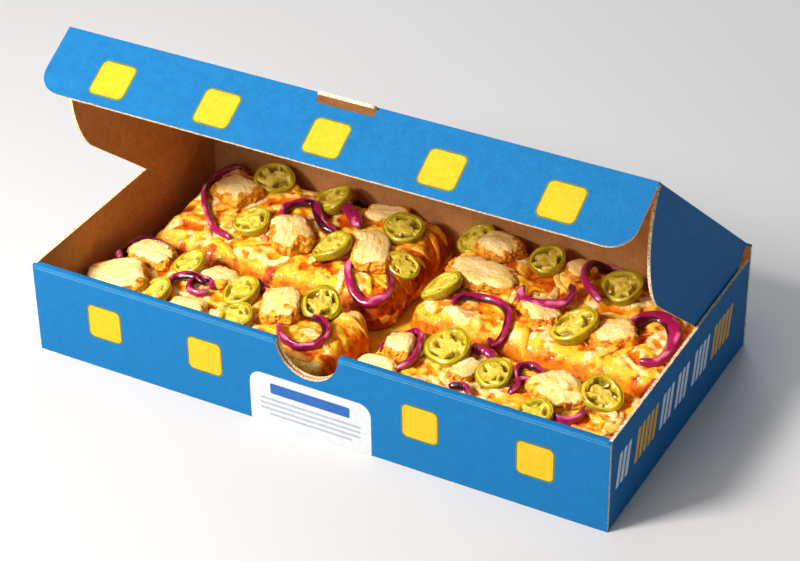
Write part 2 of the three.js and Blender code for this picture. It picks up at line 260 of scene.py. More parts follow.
def make_piece(name, shape, finishes, body, stands_for=(), smooth=True):
    """Turns a Shape into an object in metres, with its finishes, body and per-point values, and hides
    the parts it stands for.
    """
    points = np.concatenate(shape.points)
    if sum(signed_volume(points, f) for f in shape.faces) < 0:
        shape.faces = [f[:, ::-1] for f in shape.faces]
    faces = [face for block in shape.faces for face in block.tolist()]
    mesh = bpy.data.meshes.new(name)
    mesh.from_pydata((points * MM).tolist(), [], faces)
    mesh.polygons.foreach_set("material_index", np.concatenate(shape.paint).astype(np.int32))
    mesh.polygons.foreach_set("use_smooth", np.full(len(faces), smooth))
    layer = mesh.uv_layers.new(name="sheet")
    corner = np.zeros(len(mesh.loops), np.int32)
    mesh.loops.foreach_get("vertex_index", corner)
    uv = np.concatenate(shape.flat)[corner] * MM
    layer.data.foreach_set("uv", uv.astype(np.float32).ravel())
    for key, column in shape.values.items():
        attribute = mesh.attributes.new(key, "FLOAT", "POINT")
        attribute.data.foreach_set("value", np.concatenate(column).astype(np.float32))
    for finish in finishes:
        mesh.materials.append(finish)
    mesh.update()
    piece = add_object(name, mesh)
    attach(piece, body)
    if stands_for:
        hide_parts(*stands_for)
    triangles = sum(len(f) * (f.shape[1] - 2) for f in shape.faces)
    print(f"{name}: {len(points)} points, {triangles} triangles")


# %% [markdown]
# ## Uneven fields
# Nothing baked is smooth or regular. A random value is given to each corner of a lattice, and
# between the corners the values are blended, which makes soft lumps of one size. Sums of several
# sizes give a natural roughness. The same seed gives the same lumps each time.


# %% Lattice noise
def corner_value(cell, seed):
    """A fixed, scrambled number from -1 to 1 for each whole-numbered lattice corner (..., 3)."""
    cell = cell.astype(np.int64).astype(np.uint32)
    mix = cell[..., 0] * np.uint32(374761393) + cell[..., 1] * np.uint32(668265263)
    mix = mix + cell[..., 2] * np.uint32(2246822519) + np.uint32(seed * 3266489917 % 2**32)
    mix = (mix ^ (mix >> np.uint32(13))) * np.uint32(1274126177)
    mix = (mix ^ (mix >> np.uint32(16))) * np.uint32(2654435761)
    mix = mix ^ (mix >> np.uint32(15))
    return mix / 2.0**31 - 1


def lumps(points, size, seed, layers=1):
    """Noise from -1 to 1 with lumps of the given size in mm: corner values blended by 3f^2 - 2f^3."""
    points = np.asarray(points, float)
    if points.shape[-1] == 2:
        points = np.concatenate([points, np.zeros(points.shape[:-1] + (1,))], -1)
    total = np.zeros(points.shape[:-1])
    for layer in range(layers):
        scaled = points / (np.asarray(size) / 2**layer) + 17.3 * layer
        base = np.floor(scaled)
        f = scaled - base
        f = f * f * (3 - 2 * f)
        for corner in range(8):
            step = np.array([corner & 1, corner >> 1 & 1, corner >> 2 & 1])
            weight = np.prod(np.where(step, f, 1 - f), -1)
            total += weight * corner_value(base + step, seed + 31 * layer) / 2**layer
    return total


def ramp(value, low, high):
    """0 below low, 1 above high, and a smooth S between them."""
    t = np.clip((value - low) / (high - low), 0, 1)
    return t * t * (3 - 2 * t)


sample = lumps(np.random.default_rng(1).uniform(0, 100, (1000, 3)), 7, 3)
print("noise from", sample.min().round(2), "to", sample.max().round(2))

# %% [markdown]
# ## Helpers for finishes
# Each finish is a small net of shader nodes. One method adds a node and fills its inputs, either
# with a value or with another node's output, and the others build on it. Effects that several
# finishes share, the paper's fibres and the fine pits of cooked food, are node groups with named
# inputs and outputs.


# %% Node helpers
def tint(red, green, blue):
    """A colour given as 0 to 255 on screen, as the linear values that shaders use."""
    c = np.array([red, green, blue]) / 255
    linear = np.where(c <= 0.04045, c / 12.92, ((c + 0.055) / 1.055) ** 2.4)
    return (*linear.tolist(), 1.0)


class Net:
    """A tree of shader nodes, and the coordinates that its patterns are laid on."""

    def __init__(self, tree, place=None):
        self.tree = tree
        self.place = self.put("ShaderNodeTexCoord").outputs["Object"] if place is None else place

    def put(self, kind, inputs=None, **settings):
        """Adds a node; each input is a value or another node's output, by name or number."""
        node = self.tree.nodes.new(kind)
        for key, value in settings.items():
            setattr(node, key, value)
        for key, value in (inputs or {}).items():
            if isinstance(value, bpy.types.NodeSocket):
                self.send(value, node.inputs[key])
            else:
                node.inputs[key].default_value = value
        return node

    def send(self, output, socket):
        """Links an output to an input socket."""
        self.tree.links.new(output, socket)

    def calc(self, operation, *terms, clamp=False):
        """A Math node's result."""
        inputs = dict(enumerate(terms))
        return self.put("ShaderNodeMath", inputs, operation=operation, use_clamp=clamp).outputs[0]

    def times(self, a, b):
        """a x b."""
        return self.calc("MULTIPLY", a, b)

    def minus(self, a, b):
        """a - b."""
        return self.calc("SUBTRACT", a, b)

    def mix(self, factor, first, second, mode="MIX"):
        """Two colours mixed by a factor; three numbers are a colour on screen."""
        colors = [tint(*c) if isinstance(c, tuple) and len(c) == 3 else c for c in (first, second)]
        inputs = dict(zip((0, 6, 7), (factor, *colors)))
        return self.put("ShaderNodeMix", inputs, data_type="RGBA", blend_type=mode).outputs[2]

    def step(self, value, low, high, to_low=0.0, to_high=1.0):
        """A value's place between low and high, as a smooth step."""
        inputs = dict(enumerate((value, low, high, to_low, to_high)))
        return self.put("ShaderNodeMapRange", inputs, interpolation_type="SMOOTHSTEP").outputs[0]

    def noise(self, scale, detail=3.0, rough=0.6, stretch=None):
        """Noise with so many lumps a metre, on coordinates that may be stretched first."""
        where = self.place
        if stretch:
            where = self.put("ShaderNodeMapping", {"Vector": where, "Scale": stretch}).outputs[0]
        inputs = {"Vector": where, "Scale": scale, "Detail": detail, "Roughness": rough}
        return self.put("ShaderNodeTexNoise", inputs).outputs[0]

    def blotches(self, scale, detail, rough, low, high, amount=1.0):
        """Noise as smooth-edged blotches: 0 where it is below low, the amount above high."""
        return self.step(self.noise(scale, detail, rough), low, high, 0.0, amount)

    def two_tone(self, first, second, scale, detail=3.0, rough=0.6, low=0.35, high=0.65):
        """A colour with blotches of another."""
        return self.mix(self.blotches(scale, detail, rough, low, high), first, second)

    def worn(self, name):
        """One per-point value of the mesh."""
        return self.put("ShaderNodeAttribute", attribute_name=name).outputs["Fac"]

    def broken(self, name, pattern, amount):
        """A per-point value broken up by a pattern: value + (pattern - 0.5) x amount."""
        return self.calc("ADD", self.worn(name), self.times(self.minus(pattern, 0.5), amount))

    def use(self, group, inputs=None, output=0):
        """Places a group on this net's coordinates and gives one of its outputs."""
        inputs = {"Vector": self.place, **(inputs or {})}
        return self.put("ShaderNodeGroup", inputs, node_tree=group).outputs[output]


def new_group(name, inputs, outputs):
    """An empty group: a Vector and inputs with their defaults, and outputs with their kinds."""
    tree = bpy.data.node_groups.new(name, "ShaderNodeTree")
    tree.interface.new_socket("Vector", in_out="INPUT", socket_type="NodeSocketVector")
    for key, default in inputs.items():
        kind = "Color" if isinstance(default, tuple) else "Float"
        socket = tree.interface.new_socket(key, in_out="INPUT", socket_type=f"NodeSocket{kind}")
        socket.default_value = default
    for key, kind in outputs.items():
        tree.interface.new_socket(key, in_out="OUTPUT", socket_type=f"NodeSocket{kind}")
    source = tree.nodes.new("NodeGroupInput").outputs
    return Net(tree, source["Vector"]), source, tree.nodes.new("NodeGroupOutput").inputs


def new_finish(name, color, rough, bump, bump_depth, coat=None, **constants):
    """A finish around one Principled shader; color, bump and coat are functions of its net."""
    finish = bpy.data.materials.new(name)
    finish.use_nodes = True
    net = Net(finish.node_tree)
    shader = net.tree.nodes["Principled BSDF"].inputs
    for key, value in {"Roughness": rough, **constants}.items():
        shader[key.replace("_", " ")].default_value = value
    net.send(color(net), shader["Base Color"])
    if coat:
        net.send(coat(net), shader["Coat Weight"])
    relief = {"Height": bump(net), "Distance": bump_depth, "Strength": 1.0}
    net.send(net.put("ShaderNodeBump", relief).outputs[0], shader["Normal"])
    return finish


# %% [markdown]
# ## The board's finishes
# Thin corrugated board has a fine fibre grain. Outside it is printed in flat blue, with rounded
# yellow patches, a pale label on the front and a row of slanted bars on the right wall. The print
# follows the sheet, so it reads the sheet map, where one unit is one metre of board. Inside is bare
# kraft, and each cut shows the pale, torn fibres and the waves between the two liners. The tray's
# floor is brighter and yellower kraft: partly oil from the pizza, partly painted warm light thrown
# back from the food.


# %% Shared groups: paper grain and a rounded patch
def make_paper_grain():
    """Color = Base Color darkened by mottling and long thin fibres; Height = the same fibres."""
    inputs = {"Base Color": (0.5, 0.5, 0.5, 1), "Amount": 0.15}
    net, source, target = new_group("paper_grain", inputs, {"Color": "Color", "Height": "Float"})
    fibre = net.noise(900, 3, 0.7, (1, 0.35, 1))
    both = net.calc("ADD", net.times(net.noise(160, 4, 0.7), 0.6), net.times(fibre, 0.7))
    amount = net.times(net.step(both, 0.45, 0.85, 0.0, 2.0), source["Amount"])
    dark = net.mix(1.0, source["Base Color"], (0.55, 0.55, 0.55, 1), "MULTIPLY")
    net.send(net.mix(amount, source["Base Color"], dark), target["Color"])
    net.send(fibre, target["Height"])
    return net.tree


def make_patch():
    """Inside = how far a map point lies within a rounded box: half size minus corner distance."""
    inputs = {"Centre X": 0.0, "Centre Y": 0.0, "Half Width": 0.009, "Half Height": 0.009,
              "Corner": 0.003, "Slant": 0.0}
    net, source, target = new_group("rounded_patch", inputs, {"Inside": "Float"})
    split = net.put("ShaderNodeSeparateXYZ", {0: net.place}).outputs
    down = net.minus(split[1], source["Centre Y"])
    across = net.minus(net.minus(split[0], net.times(down, source["Slant"])), source["Centre X"])
    squares = []
    for part, half in ((across, "Half Width"), (down, "Half Height")):
        inner = net.minus(source[half], source["Corner"])
        gap = net.calc("MAXIMUM", net.minus(net.calc("ABSOLUTE", part), inner), 0)
        squares.append(net.times(gap, gap))
    away = net.calc("SQRT", net.calc("ADD", *squares))
    net.send(net.minus(source["Corner"], away), target["Inside"])
    return net.tree


paper_grain = make_paper_grain()
rounded_patch = make_patch()
print("groups:", paper_grain.name, rounded_patch.name)

# %% The print's measures
BLUE, YELLOW = tint(18, 103, 159), tint(230, 171, 34)
OLIVE, WHITE = tint(108, 112, 48), tint(214, 220, 226)
INK_EDGE = 0.18
SPOT_HALF, SPOT_CORNER, SPOT_LINE = 10.4, 3.6, 0.9
# The label's inks: colour, strength, corner, and patches as x, y, half width and half height.
LABEL = [
    ((196, 200, 204), 1.0, 7, [(0.8, 12, 35, 18.5)]),
    ((44, 92, 160), 1.0, 1, [(0.8, 22.3, 23, 3.2)]),
    ((120, 134, 150), 0.6, 0.4, [(0.8, 15.2 - 3.1 * k, 29 - 5 * (k == 3), 0.65) for k in range(4)]),
]
BAR_STEP, BAR_HEIGHT, BAR_HALF, BAR_CORNER, BAR_SLANT = 5.2, 30, (1.75, 9.5), 0.9, 0.22
BAR_GROUPS = [(-71, 3, WHITE), (-44, 5, YELLOW), (-19, 3, WHITE), (0, 3, WHITE), (24, 4, WHITE),
              (52, 5, YELLOW)]
EVEN_SPOTS = (-124, -63, 0, 63, 124)


# %% Printed board
def sheet_place(net, axis):
    """A map point's place along one axis of the sheet, in metres."""
    sheet = net.put("ShaderNodeUVMap", uv_map="sheet").outputs[0]
    return net.put("ShaderNodeSeparateXYZ", {0: sheet}).outputs[axis]


def deepest(net, patches, corner, slant=0.0):
    """How deep each map point lies inside the nearest of several rounded patches, in metres."""
    sheet = net.put("ShaderNodeUVMap", uv_map="sheet").outputs[0]
    names = ("Centre X", "Centre Y", "Half Width", "Half Height", "Corner")
    total = None
    for patch in patches:
        inputs = {key: value * MM for key, value in zip(names, (*patch, corner))}
        depth = net.use(rounded_patch, {**inputs, "Vector": sheet, "Slant": slant})
        total = depth if total is None else net.calc("MAXIMUM", total, depth)
    return total


def stamp(net, color, ink, depth, inset=0.0, strength=1.0):
    """Lays an ink over a colour wherever the depth inside its patches is more than the inset."""
    low, high = (inset - INK_EDGE) * MM, (inset + INK_EDGE) * MM
    return net.mix(net.step(depth, low, high, 0.0, strength), color, ink)


def fibres(net):
    """Bump height from the shared paper grain."""
    return net.use(paper_grain, output="Height")


def printed(name, spots=(), label=(), bars=(), crease=None):
    """A printed finish: blue board, then yellow spots in an olive line, a label, and bars."""

    def ink(net):
        color = BLUE
        if spots:
            depth = deepest(net, [(*spot, SPOT_HALF, SPOT_HALF) for spot in spots], SPOT_CORNER)
            color = stamp(net, color, OLIVE, depth)
            color = stamp(net, color, YELLOW, depth, SPOT_LINE)
        for tone, strength, corner, patches in label:
            color = stamp(net, color, tone, deepest(net, patches, corner), strength=strength)
        for tone, slant, patches in bars:
            color = stamp(net, color, tone, deepest(net, patches, BAR_CORNER, slant))
        if crease:
            near = net.calc("ABSOLUTE", net.minus(sheet_place(net, 1), crease * MM))
            color = net.mix(net.step(near, 0.0002, 0.0012, 0.5, 0.0), color, (92, 172, 226))
        return net.use(paper_grain, {"Base Color": color, "Amount": 0.17 if label else 0.24})

    return new_finish(name, ink, 0.62, fibres, 0.00008, Specular_IOR_Level=0.12)


def side_bars(side):
    """Slanted upright bars in groups along a side wall; side is 1 for the right."""
    bars = []
    for tone in (WHITE, YELLOW):
        patches = [(side * (centre + BAR_STEP * (k - (count - 1) / 2)), BAR_HEIGHT, *BAR_HALF)
                   for centre, count, ink in BAR_GROUPS if ink == tone for k in range(count)]
        bars.append((tone, BAR_SLANT * side, patches))
    return bars


print_front = printed("print_front", [(x, 29.2) for x in (-122, -60.8, 63.3, 126)], LABEL,
                      crease=52.4)
print_flap = printed("print_flap", [(x, 22.4) for x in (-124.3, -63.3, -1.5, 61, 123)])
print_right = printed("print_right", bars=side_bars(1))
print_left = printed("print_left", bars=side_bars(-1))
print_back = printed("print_back", [(x, 29) for x in EVEN_SPOTS])
print_lid = printed("print_lid", [(x, y) for x in EVEN_SPOTS for y in (42, 124)])
print_plain = printed("print_plain")
print("printed finishes done")

# %% Bare kraft and cut edges
FLUTE_PITCH = 0.0032
TORN_NOISE = (1100, 3, 0.8)


def flutes(net):
    """The waves beneath the liner: the sine of a map point's place over the flutes' pitch."""
    return net.calc("SINE", net.times(sheet_place(net, 0), 2 * np.pi / FLUTE_PITCH))


def kraft_color(first, second, line):
    """Bare kraft: brown paper of two tones with fibres, and faint bands over the waves."""

    def color(net):
        band = net.calc("MULTIPLY_ADD", flutes(net), 0.04, 0.04)
        base = net.mix(band, net.mix(net.noise(30), first, second), line)
        return net.use(paper_grain, {"Base Color": base, "Amount": 0.3})

    return color


def kraft_relief(net):
    """Bump height of kraft: the paper's fibres and the waves."""
    return net.calc("MULTIPLY_ADD", flutes(net), 0.3, fibres(net))


def cut_color(net):
    """A cut edge: pale torn liner fibres, broken by brown gaps where the waves show."""
    return net.two_tone((240, 222, 184), (154, 106, 58), *TORN_NOISE, 0.46, 0.62)


kraft = new_finish("kraft_inside", kraft_color((218, 156, 96), (204, 140, 82), (164, 106, 60)), 0.85,
                   kraft_relief, 0.0001, Specular_IOR_Level=0.2)
# The floor's kraft is brighter and yellower than the walls': partly oil from the pizza, partly
# painted warm light thrown back from the food.
kraft_floor = new_finish("kraft_floor", kraft_color((255, 216, 62), (255, 200, 46), (228, 164, 40)),
                         0.55, kraft_relief, 0.00008, Specular_IOR_Level=0.3)
cut_edge = new_finish("cut_edge", cut_color, 0.9, lambda net: net.noise(*TORN_NOISE), 0.0003,
                      Specular_IOR_Level=0.1)
print("kraft and cut edges done")

# %% [markdown]
# ## Sheets of board
# Each panel lies between a lower and an upper edge, both functions of the place along it. Two such
# layers, one board apart, with a rim around them, make a closed panel: printed outside, kraft
# inside, raw at the rim. A round bead closes each fold, so a panel can turn about it at any angle.

# %% Panel and bead
BOARD = 1.6
HALF_BOARD = BOARD / 2
X, Y, Z = np.eye(3)


def panel(origin, along, across, normal, u, low, high, rows=24, ragged=0.12, seed=5):
    """A closed panel, half a board to each side of origin + u along + v across, low < v < high."""
    shape = Shape()
    v = np.linspace(0, 1, rows)[:, None]
    up = (low + (high - low) * v) + 0 * u
    flat = stack(u + 0 * up, up)
    centre = origin + flat[..., :1] * along + flat[..., 1:] * across
    shake = lumps(centre, 2.2, seed, 2) * ragged
    edge = np.zeros(up.shape)
    edge[0], edge[-1], edge[:, 0], edge[:, -1] = 1, 1, 1, 1
    centre = centre - (edge * np.abs(shake))[..., None] * (np.sign(v - 0.5)[..., None] * across)
    for side, paint in ((1, 0), (-1, 1)):
        start = shape.add_points(centre + side * HALF_BOARD * normal, flat)
        faces = grid_faces(rows, len(u), start)
        shape.add_faces(faces if side > 0 else faces[:, ::-1], paint)
    ring = grid_ring(rows, len(u))
    points = centre.reshape(-1, 3)[ring]
    run = np.cumsum(np.linalg.norm(np.diff(points, axis=0, prepend=points[:1]), axis=1))
    offsets = np.linspace(HALF_BOARD, -HALF_BOARD, 3)[:, None, None]
    rim = points[None] + offsets * normal
    rim_uv = stack(run[None], offsets[..., 0])
    start = shape.add_points(rim, rim_uv)
    shape.add_faces(grid_faces(3, len(ring), start, True)[:, ::-1], 2)
    return shape


def bead(x0, x1, centre, along=X, sides=16):
    """A round bar of half a board's radius between two places along an axis."""
    angle = circle(sides)
    first = np.cross(along, [0.3, 0.5, 0.8])
    first /= np.linalg.norm(first)
    second = np.cross(along, first)
    ring = HALF_BOARD * (np.cos(angle)[:, None] * first + np.sin(angle)[:, None] * second)
    reach = np.linspace(x0, x1, 8)[:, None, None] * along
    return np.asarray(centre) + reach + ring


# %% [markdown]
# ## The tray
# The base and the side and back walls are single boards. The front wall is rolled over: an outer
# and an inner board with a hollow between them and a rounded top, cut by a half-oval thumb notch
# that shows both boards and the dark gap.

# %% Tray measures
HALF_WIDTH = TRAY_HIGH[0]
HALF_DEPTH = 88.0
WALL, HINGE_HEIGHT = 54.0, 62.0
NOTCH_HALF, NOTCH_DEPTH = 18.0, 19.0
FRONT_THICK = 4.4
ROLL_RADIUS, ROLL_HANG = 1.2, 0.4
ROLL_START = WALL - ROLL_RADIUS
SEAM = 0.15
INNER_X, INNER_Y = HALF_WIDTH - BOARD - SEAM, HALF_DEPTH - BOARD - SEAM
WALL_X, WALL_Y = HALF_WIDTH - HALF_BOARD, HALF_DEPTH - HALF_BOARD


def wall_top(x):
    """The front boards' upper edge: the roll's start, or the half oval of the notch."""
    inside = np.clip(1 - (x / NOTCH_HALF) ** 2, 0, None)
    return np.minimum(ROLL_START, np.where(inside > 0, WALL - NOTCH_DEPTH * np.sqrt(inside), WALL))


def notch_columns():
    """Columns along the front wall: even outside the notch, even in angle within it."""
    angle = np.linspace(-np.pi / 2, np.pi / 2, 49)
    left = np.linspace(-HALF_WIDTH, -NOTCH_HALF - 0.01, 60)
    return np.concatenate([left, (NOTCH_HALF - 0.004) * np.sin(angle), -left[::-1]])


# %% Tray boards
def make_board(name, shape, outside, body, node, inside=kraft, smooth=False):
    """A piece of board with its finishes: outside, inside, and raw at the rim."""
    make_piece(name, shape, [outside, inside, cut_edge], body, [node], smooth)


def tray_panel(name, outside, inside=kraft, across=Z, rows=16, **where):
    """Adds one flat panel of the tray, upright unless it says otherwise."""
    shape = panel(across=across, rows=rows, **where)
    make_board(f"tray_{name}", shape, outside, "root", "tray", inside)


tray_panel("floor", print_plain, kraft_floor, origin=Z * HALF_BOARD, along=X, across=Y, normal=-Z,
           u=np.linspace(-INNER_X, INNER_X, 160), low=-INNER_Y, high=INNER_Y, rows=24)
for name, out, outside in (("left_wall", -X, print_left), ("right_wall", X, print_right)):
    tray_panel(name, outside, origin=out * WALL_X, along=Y, normal=out,
               u=np.linspace(-INNER_Y, INNER_Y, 90), low=0.0, high=WALL)
tray_panel("back_wall", print_back, origin=Y * WALL_Y, along=X, normal=Y,
           u=np.linspace(-HALF_WIDTH, HALF_WIDTH, 160), low=0.0, high=HINGE_HEIGHT, ragged=0.0)
columns = notch_columns()
tray_panel("front_outer", print_front, origin=-Y * WALL_Y, along=X, normal=-Y, u=columns, low=0.0,
           high=wall_top(columns))
columns = np.unique(np.clip(columns, -INNER_X, INNER_X))
tray_panel("front_inner", print_plain, origin=-Y * (HALF_DEPTH - FRONT_THICK + HALF_BOARD), along=X,
           normal=Y, u=columns, low=BOARD, high=wall_top(columns), seed=9)


# %% The rolled top of the front wall
def roll_profile():
    """From the front face over the roll to the inner face, as an outer line, then back inside."""
    turn = np.linspace(0, np.pi / 2, 7)
    sine, cosine = ROLL_RADIUS * np.sin(turn), ROLL_RADIUS * np.cos(turn)
    front = stack(ROLL_RADIUS - cosine, sine)
    back = stack(FRONT_THICK - ROLL_RADIUS + sine, cosine)
    outer = np.concatenate([[[0, -ROLL_HANG]], front, back, [[FRONT_THICK, -ROLL_HANG]]])
    within = FRONT_THICK - BOARD
    inner = [(within, -ROLL_HANG), (within - 0.1, -0.2), (BOARD + 0.1, -0.2), (BOARD, -ROLL_HANG)]
    return np.concatenate([outer, inner]), len(outer)


def rolled_top():
    """The roll's profile carried along X on both sides of the notch."""
    shape = Shape()
    profile, outer = roll_profile()
    lengths = np.cumsum(np.linalg.norm(np.diff(profile, axis=0, prepend=profile[:1]), axis=1))
    depth, height = profile[:, 0] - HALF_DEPTH, profile[:, 1] + ROLL_START
    for side in (-1, 1):
        xs = np.linspace(NOTCH_HALF, HALF_WIDTH - 0.05, 60)[:, None] * side
        sag = np.abs(0.12 * lumps(stack(xs[:, 0], xs[:, 0] * 0), 14, 8))
        ring = stack(xs, depth, height)
        ring[..., 2] -= sag[:, None]
        uv = stack(xs, lengths - ROLL_HANG + ROLL_START)
        rows, cols = ring.shape[:2]
        start = shape.add_points(ring, uv)
        faces = grid_faces(rows, cols, start, True)[:, ::side]
        paint = np.tile(np.where(np.arange(cols) >= outer - 3, 2, 0), rows - 1)
        for kind in (0, 2):
            shape.add_faces(faces[paint == kind], kind)
        for row, flip in ((0, side > 0), (rows - 1, side < 0)):
            ends = start + row * cols + np.arange(cols)
            shape.add_faces(fan_faces(ends, shape.add_points(ring[row].mean(0)), flip), 2)
    return shape


make_board("tray_front_roll", rolled_top(), print_front, "root", "tray", smooth=True)
hinge_bead = Shape()
hinge_bead.add_tube(bead(-HALF_WIDTH, HALF_WIDTH, (0, WALL_Y, HINGE_HEIGHT)))
make_piece("tray_hinge_fold", hinge_bead, [print_plain], "root", ["tray"])

# %% [markdown]
# ## The lid and its flaps
# The lid is one panel with a small tab at its front edge. Two side flaps hang from it, round at the
# heel and drawn up to a point at the front, and the front flap folds down with the hole that the
# tab was cut from. All are built where they stand with the lid propped open.

# %% Lid measures and directions
LID_HALF, LID_LENGTH, LID_START = 162.8, 166.0, 0.95
OPEN, DROOP = np.radians(40.5), np.radians(29.5)
HINGE = np.array([0, WALL_Y, HINGE_HEIGHT])
LID_ALONG = np.array([0, -np.cos(OPEN), np.sin(OPEN)])
LID_OUT = np.array([0, np.sin(OPEN), np.cos(OPEN)])
FOLD = HINGE + LID_LENGTH * LID_ALONG
FLAP_ALONG = np.array([0, -np.cos(DROOP), -np.sin(DROOP)])
FLAP_OUT = np.array([0, -np.sin(DROOP), np.cos(DROOP)])
TAB = {"half": 15.8, "reach": 4.3, "corner": 1.6}
FRONT_DEEP, FRONT_CORNER = 38.0, 13.0
SLOT = {"half": 16.3, "reach": 5.1, "corner": 1.8}
FLAP_DEEP, FLAP_BACK, HEEL, NOSE, NOSE_BACK, NOSE_POWER = 51.0, 3.0, 20.0, 50.0, 3.0, 1.65
print("front fold at", FOLD.round(2))


# %% Lid panel and folds
def rounded_step(u, half, reach, corner):
    """reach within half of the middle, drawn in over a round corner, and 0 outside."""
    over = np.clip(np.abs(u) - (half - corner), 0, corner)
    drop = corner - np.sqrt(np.clip(corner**2 - over**2, 0, None))
    return np.where(np.abs(u) <= half, reach - drop, 0.0)


def corner_places(half, corner, steps=5):
    """Places even in angle along the round corner at both sides of the middle."""
    turn = half - corner + corner * np.sin(np.linspace(0, np.pi / 2, steps))
    return np.concatenate([-turn, turn])


def step_places(half, corner, **_):
    """Places that follow a rounded step: its corners, and a hair beyond each side."""
    return np.concatenate([corner_places(half, corner), [-half - 0.02, half + 0.02]])


flap_x = LID_HALF - HALF_BOARD
lid_u = np.unique(np.concatenate([np.linspace(-flap_x, flap_x, 150), step_places(**TAB)]))
lid_shape = panel(HINGE, X, LID_ALONG, LID_OUT, lid_u, np.full_like(lid_u, LID_START),
                  LID_LENGTH + rounded_step(lid_u, **TAB), ragged=0.0)
for side in (-1, 1):
    lid_shape.add_tube(bead(1.5, LID_LENGTH - 3.2, HINGE + side * flap_x * X, LID_ALONG))
    run = sorted((side * (TAB["half"] + 0.5), side * LID_HALF))
    lid_shape.add_tube(bead(*run, FOLD))
make_board("lid_panel", lid_shape, print_lid, "lid", "lid")


# %% Side flaps
def flap_depth(s):
    """Depth under the lid: a quarter circle at the heel, straight, then a superellipse nose."""
    heel = np.clip(FLAP_BACK + HEEL - s, 0, HEEL)
    nose = np.clip((s - (LID_LENGTH - NOSE_BACK - NOSE)) / NOSE, 0, 1)
    rounded = FLAP_DEEP - HEEL + np.sqrt(HEEL**2 - heel**2)
    return rounded * np.clip(1 - nose**NOSE_POWER, 0, 1) ** (1 / NOSE_POWER)


heel_s = FLAP_BACK + HEEL * (1 - np.cos(np.linspace(0, np.pi / 2, 12)))
nose_s = LID_LENGTH - NOSE_BACK - NOSE * (1 - np.sin(np.linspace(0, np.pi / 2, 28)) * 0.9995)
flap_s = np.concatenate([heel_s, np.linspace(FLAP_BACK + HEEL, nose_s[0], 40), nose_s])
flap_s = np.unique(flap_s)
for name, out in (("left_flap", -X), ("right_flap", X)):
    shape = panel(HINGE + flap_x * out, LID_ALONG, -LID_OUT, out, flap_s, np.zeros_like(flap_s),
                  np.maximum(flap_depth(flap_s), 0.9), 14)
    make_board(f"lid_{name}", shape, print_plain, "lid", name)

# %% Front flap
straight = LID_HALF - FRONT_CORNER
front_u = np.unique(np.concatenate([np.linspace(-straight, straight, 120), step_places(**SLOT),
                                    corner_places(LID_HALF, FRONT_CORNER, 14)]))
over = np.clip(np.abs(front_u) - straight, 0, FRONT_CORNER)
front_edge = FRONT_DEEP - FRONT_CORNER + np.sqrt(FRONT_CORNER**2 - over**2)
front_shape = panel(FOLD, X, FLAP_ALONG, FLAP_OUT, front_u, rounded_step(front_u, **SLOT),
                    front_edge, 16)
make_board("lid_front_flap", front_shape, print_flap, "front_flap", "front_flap")

# %% [markdown]
# ## The slabs
# One tray-baked pizza was cut in four, so each slab is a rounded rectangle whose inner corners are
# rounder. A square grid is laid over the rectangle, and near each corner it is drawn in to a
# quarter circle. The same grid carries the baked dough below and the sauce and cheese above.

# %% Slab outlines
SLABS = {
    "back_left": {"x": (-157, -4), "y": (0.5, 84), "corners": (10, 15, 6, 8), "seed": 11},
    "back_right": {"x": (5, 158), "y": (0.5, 84), "corners": (15, 8, 8, 6), "seed": 22},
    "front_left": {"x": (-158, -3), "y": (-69, -3.5), "corners": (8, 16, 22, 8), "seed": 33},
    "front_right": {"x": (6, 158), "y": (-69, -3.5), "corners": (12, 8, 8, 20), "seed": 44},
}
GRID_STEP, WAVER_REACH = 0.7, 14


def slab_grid(x, y, corners, seed, step=GRID_STEP):
    """X and Y of a grid over a rounded rectangle, and how far each point lies in from its rim.

    In a corner, x = a sqrt(1 - b^2/2) of the radius. The border wavers in and out a little.
    """
    cols = int((x[1] - x[0]) / step)
    rows = int((y[1] - y[0]) / step)
    across, up = np.meshgrid(np.linspace(x[0], x[1], cols), np.linspace(y[0], y[1], rows))
    gx, gy = across.copy(), up.copy()
    for (sx, sy), radius in zip(((-1, -1), (1, -1), (1, 1), (-1, 1)), corners):
        cx = x[0] + radius if sx < 0 else x[1] - radius
        cy = y[0] + radius if sy < 0 else y[1] - radius
        a = np.clip(sx * (across - cx) / radius, 0, 1)
        b = np.clip(sy * (up - cy) / radius, 0, 1)
        here = (a > 0) & (b > 0)
        gx = np.where(here, cx + sx * radius * a * np.sqrt(1 - b * b / 2), gx)
        gy = np.where(here, cy + sy * radius * b * np.sqrt(1 - a * a / 2), gy)
    where = stack(gx, gy)
    waver = 1.1 * lumps(where, 16, seed) + 0.5 * lumps(where, 6, seed + 1) - 1.0
    rim = np.minimum.reduce([across - x[0], x[1] - across, up - y[0], y[1] - up])
    fade = 1 - ramp(rim, 0, WAVER_REACH)
    middle = np.array([sum(x) / 2, sum(y) / 2])
    half = np.array([(x[1] - x[0]) / 2, (y[1] - y[0]) / 2])
    inset = np.abs(where - middle) - half + WAVER_REACH
    way = np.sign(where - middle) * np.clip(inset, 0, WAVER_REACH) / WAVER_REACH
    return gx + way[..., 0] * waver * fade, gy + way[..., 1] * waver * fade, rim


def outward_normals(ring):
    """For a closed ring of XY points in anticlockwise order, the level direction away from it."""
    step = np.roll(ring, -3, 0) - np.roll(ring, 3, 0)
    out = stack(step[:, 1], -step[:, 0])
    return out / np.maximum(np.linalg.norm(out, axis=1, keepdims=True), 1e-6)


slab_grids = {place: slab_grid(**spec) for place, spec in SLABS.items()}
print({place: grid[0].shape for place, grid in slab_grids.items()})

# %% [markdown]
# ## Melted cheese
# Grated cheese melts into fingers that run together. Each finger is a half round bar on the
# surface, a little bent, and where fingers meet the higher one wins. Sauce shows where there are
# none. The rim sinks to the crust, and here and there the cheese runs down the side in a drip.


# %% Fingers of cheese over a grid
FINGER_COUNT = 290


